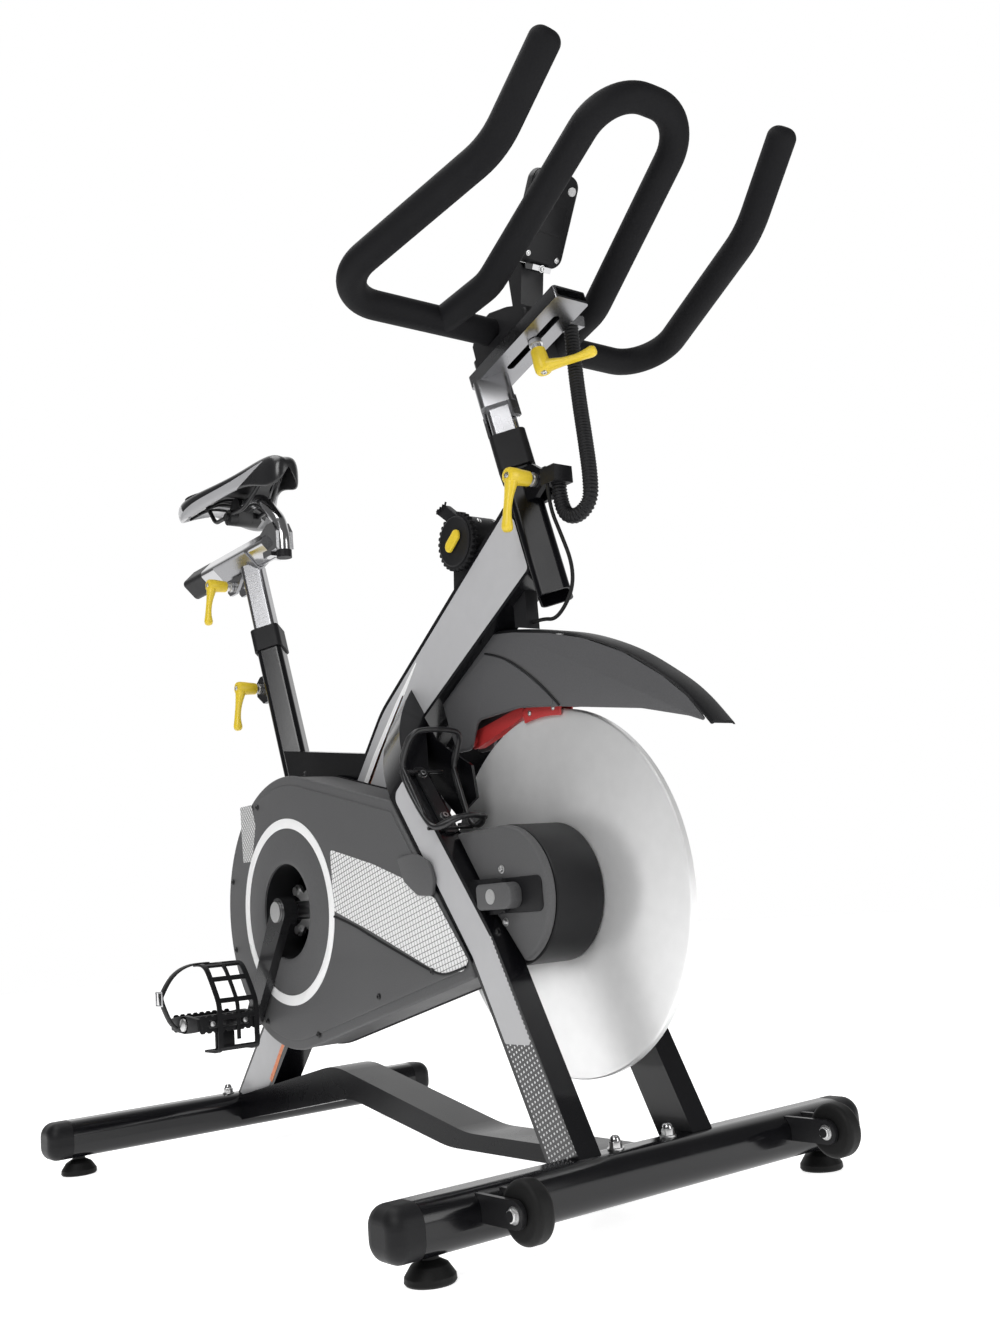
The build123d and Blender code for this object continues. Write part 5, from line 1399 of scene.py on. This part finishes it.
def makeShifter():
    size = shifterSizes
    x, z, face = size["x"], size["z"], size["face"]
    rim = []
    for index in range(size["teeth"]):
        for part, reach in ((0.0, 35.2), (0.25, 38.0), (0.6, 38.0), (0.85, 35.2)):
            angle = math.radians(360 * (index + part) / size["teeth"])
            rim.append((x + reach * math.cos(angle), z + reach * math.sin(angle)))
    knob = sidePlate("shifterKnob", rim, face, face + size["thick"] - 2, blackPlastic,
                     holes=[arc(x, z, 6.3, 0, 345, 24)])
    pieces = [bake(softEdges(knob, 0.7, 2, 40), 35)]
    dish = turned("shifterDish", [(6.4, 8), (31.5, 8), (32.5, 9.4), (30.5, 10.4), (24, 9.6),
                                  (6.4, 9.0)], (x, -face + 0.2, z), (0, -1, 0), blackPlastic, 64)
    pieces.append(bake(dish, 30))
    tab = sidePlate("shifterTab", rounded([(x - 10, z + 26), (x - 34, z + 45), (x - 37, z + 50),
                                           (x - 16, z + 53), (x + 12, z + 30)],
                                          [2, 6, 6, 10, 2], 6), face, face + 9, blackPlastic)
    pieces.append(bake(softEdges(tab, 1.2, 3, 40), 35))
    for index in range(4):
        start = Vector((x - 33 + 6 * index, 0, z + 44.5 + 1.6 * index))
        ridge = bandAlong("tabRidge", [(start.x, -face - 9.2, start.z),
                                       (start.x + 3.4, -face - 9.4, start.z + 5.8)],
                          (0, 1, 0), 2.0, 2.0, blackPlastic)
        pieces.append(ridge)
    settle(joined("shifterLever", pieces), "shifter_lever_body", "black_plastic", "shifter_lever")
    turn = math.radians(35)
    along = Vector((math.cos(turn), 0, math.sin(turn)))
    up = Vector((-math.sin(turn), 0, math.cos(turn)))
    sections = []
    for lift, scale in ((11.4, 1.0), (13.0, 1.0), (14.2, 0.95), (14.7, 0.82), (14.6, 0.4)):
        ring = []
        for step in range(40):
            angle = 2 * math.pi * step / 40
            reach = 9.0 if math.cos(angle) >= 0 else -9.0
            point = Vector((x, -face - lift + 0.4, z)) + along * (reach + 7.7 * scale
                                                                  * math.cos(angle))
            ring.append(tuple(point + up * (7.7 * scale * math.sin(angle))))
        sections.append(ring)
    settle(bake(lofted("shifterButton", sections, yellowPlastic), 40), "shifter_button_body",
           "yellow_plastic", "shifter_button")
    # detent plate with a lightening hole behind the knob
    plateOutline = [(x + 8, z + 20), (x + 26, z + 26), (x + 40, z + 14), (x + 44, z - 6),
                    (x + 36, z - 14), (x + 30, z - 6)]
    detent = sidePlate("detentPlate", rounded(plateOutline, [3, 6, 8, 6, 6, 3], 5), -14, -11,
                       steel, holes=[arc(x + 33, z + 10, 3.4, 0, 345, 24)])
    settle(bake(softEdges(detent, 0.4, 2, 40), 35), "frame", "bright_steel")
    settle(boltHead("detentBolt", (x + 24, -face + 14, z + 22), (0, -1, 0), 3.6, 3, zinc, "dome"),
           "frame", "zinc_bolts")


makeShifter()
print("shifter")


# brake seen under the fender
brakeSizes = {"rim": 211.0, "x": 296.0, "z": 345.6, "middle": 10.0}


def makeBrake():
    size = brakeSizes
    x, z, middle = size["x"], size["z"], size["middle"]

    def aroundRim(start, end, inner, outer, low, high, name, material):
        near = arc(x, z, inner, start, end, 14)
        far = list(reversed(arc(x, z, outer, start, end, 14)))
        piece = sidePlate(name, near + far, low, high, material)
        return bake(softEdges(piece, 0.9, 3, 45), 35)

    rim = size["rim"]
    cheeks = []
    for sign in (1, -1):
        face = -middle + sign * 7.4
        cheeks.append(aroundRim(80.5, 99.5, rim - 7.5, rim + 9, face, face + sign * 2.6,
                                "brakeCheek", redPlastic))
    cheeks.append(aroundRim(80.5, 99.5, rim + 6, rim + 10.5, -middle - 9, -middle + 9,
                            "brakeBack", redPlastic))
    settle(joined("brakeShoe", cheeks), "brake_body", "red_plastic", "brake_pad")
    felt = aroundRim(81.5, 98.5, rim + 3.3, rim + 7, -middle - 6.5, -middle + 6.5, "brakeFelt",
                     feltPad)
    settle(felt, "brake_body", "light_plastic")
    # two bolts along the shoe's side
    for angle in (84, 96):
        spot = (x + (rim + 1.5) * math.cos(math.radians(angle)), middle - 10.1,
                z + (rim + 1.5) * math.sin(math.radians(angle)))
        settle(boltHead("brakeBolt", spot, (0, -1, 0), 2.4, 1.2, zinc, "dome"), "brake_body",
               "zinc_bolts")


feltPad = finish("brake felt", (0.36, 0.34, 0.28), 0.85, 0.95, grain=(260, 0.3))
makeBrake()
print("brake")


# bottle cage: two bent wire sides and two bolts
cageSizes = {"root": (158.0, 490.0), "leg": -79.0, "wire": 3.4}


def makeBottleCage():
    centre = boxOf("bottle_cage")[0]
    root = Vector((cageSizes["root"][0], centre.y, cageSizes["root"][1]))
    up, off = Vector((-0.59, 0, 0.807)), Vector((0.807, 0, 0.59))

    def spot(along, across, away):
        return tuple(root + up * along + off * away + Vector((0, across, 0)))

    for sign in (-1, 1):
        line = [spot(24, 0, 66), spot(25, sign * 24, 65), spot(22, sign * 36, 58),
                spot(14, sign * 38, 36), spot(4, sign * 38, 16), spot(-22, sign * 36, 10),
                spot(-62, sign * 32, 7), spot(-82, sign * 30, 10), spot(-93, sign * 26, 26),
                spot(-96, sign * 20, 42), spot(-96, sign * 8, 47), spot(-96, 0, 47)]
        side = tubeAlong("cageWire", line, cageSizes["wire"], blackSteel, sides=16)
        settle(side, "frame", "black_steel")
    for along in (8, -60):
        settle(boltHead("cageBolt", spot(along, 0, 4.3), tuple(off), 4.4, 3.2, zinc, "socket"),
               "frame", "zinc_bolts")


makeBottleCage()
print("bottle cage")


# console and what the carriage carries
def makeConsole():
    turn = Vector((0.5, 0, 0.866))
    out = Vector((-0.866, 0, 0.5))
    middle = Vector((385, 0, 1143))

    def spot(along, across, lift):
        return tuple(middle + turn * along + Vector((0, across, 0)) + out * lift)

    # A soft-cornered pad built up from levels of (height, inset)
    def shell(name, halfLong, halfWide, bend, levels, material):
        base = rounded([(-halfLong, -halfWide), (halfLong, -halfWide), (halfLong, halfWide),
                        (-halfLong, halfWide)], [bend] * 4, 8)
        sections = []
        for lift, inset in levels:
            scaleLong, scaleWide = 1 - inset / halfLong, 1 - inset / halfWide
            sections.append([spot(u * scaleLong, v * scaleWide, lift) for u, v in base])
        return bake(lofted(name, sections, material), 35)

    caseLayers = [(-13, 6), (-12.6, 3.4), (-11, 1.4), (-8, 0.3), (-3, 0), (-2.4, 0.9),
                  (-1.6, 0.9), (-1, 0), (8, 0.3), (11, 1.6), (12.6, 3.6), (13, 6)]
    case = shell("consoleCase", 55, 32, 14, caseLayers, blackPlastic)
    settle(case, "carriage_body", "black_plastic", "console")
    screen = shell("consoleScreen", 36, 25, 4, [(12.2, 0), (13.4, 0), (13.9, 0.8)], glassBlack)
    settle(screen, "carriage_body", "black_plastic")
    hatch = shell("consoleHatch", 17, 21, 5, [(-14.2, 1.2), (-13.8, 0.2), (-12.8, 0)], blackPlastic)
    settle(hatch, "carriage_body", "black_plastic")
    for across in (-16, 0, 16):
        settle(shellButton(spot(-45, across, 12.4), out), "carriage_body", "light_plastic")
    for along, across in ((-44, 22), (-44, -22), (44, -22)):
        settle(boltHead("consoleScrew", spot(along, across, -13), tuple(-out), 2.4, 1.2, zinc,
                        "socket"), "carriage_body", "zinc_bolts")
    # silver clamp that holds the case to its stalk
    clamp = [spot(-58, -14, -9), spot(-58, 0, -9), spot(-58, 14, -9)]
    settle(bandAlong("consoleClamp", clamp, turn, 7, 16, chrome), "carriage_body", "chrome_steel")
    settle(boltHead("clampScrew", spot(-58, 0, -17), tuple(-out), 3.2, 2.4, zinc, "socket"),
           "carriage_body", "zinc_bolts")


def shellButton(origin, axis):
    profile = [(5.2, 0), (5.0, 1.6), (4.0, 2.4), (2.0, 2.7), (0, 2.8)]
    return bake(turned("consoleKey", profile, origin, tuple(axis), lightPlastic, 28), 50)


glassBlack = finish("dark screen", (0.012, 0.014, 0.014), 0.06, 0.1, coat=0.5)
makeConsole()
print("console")
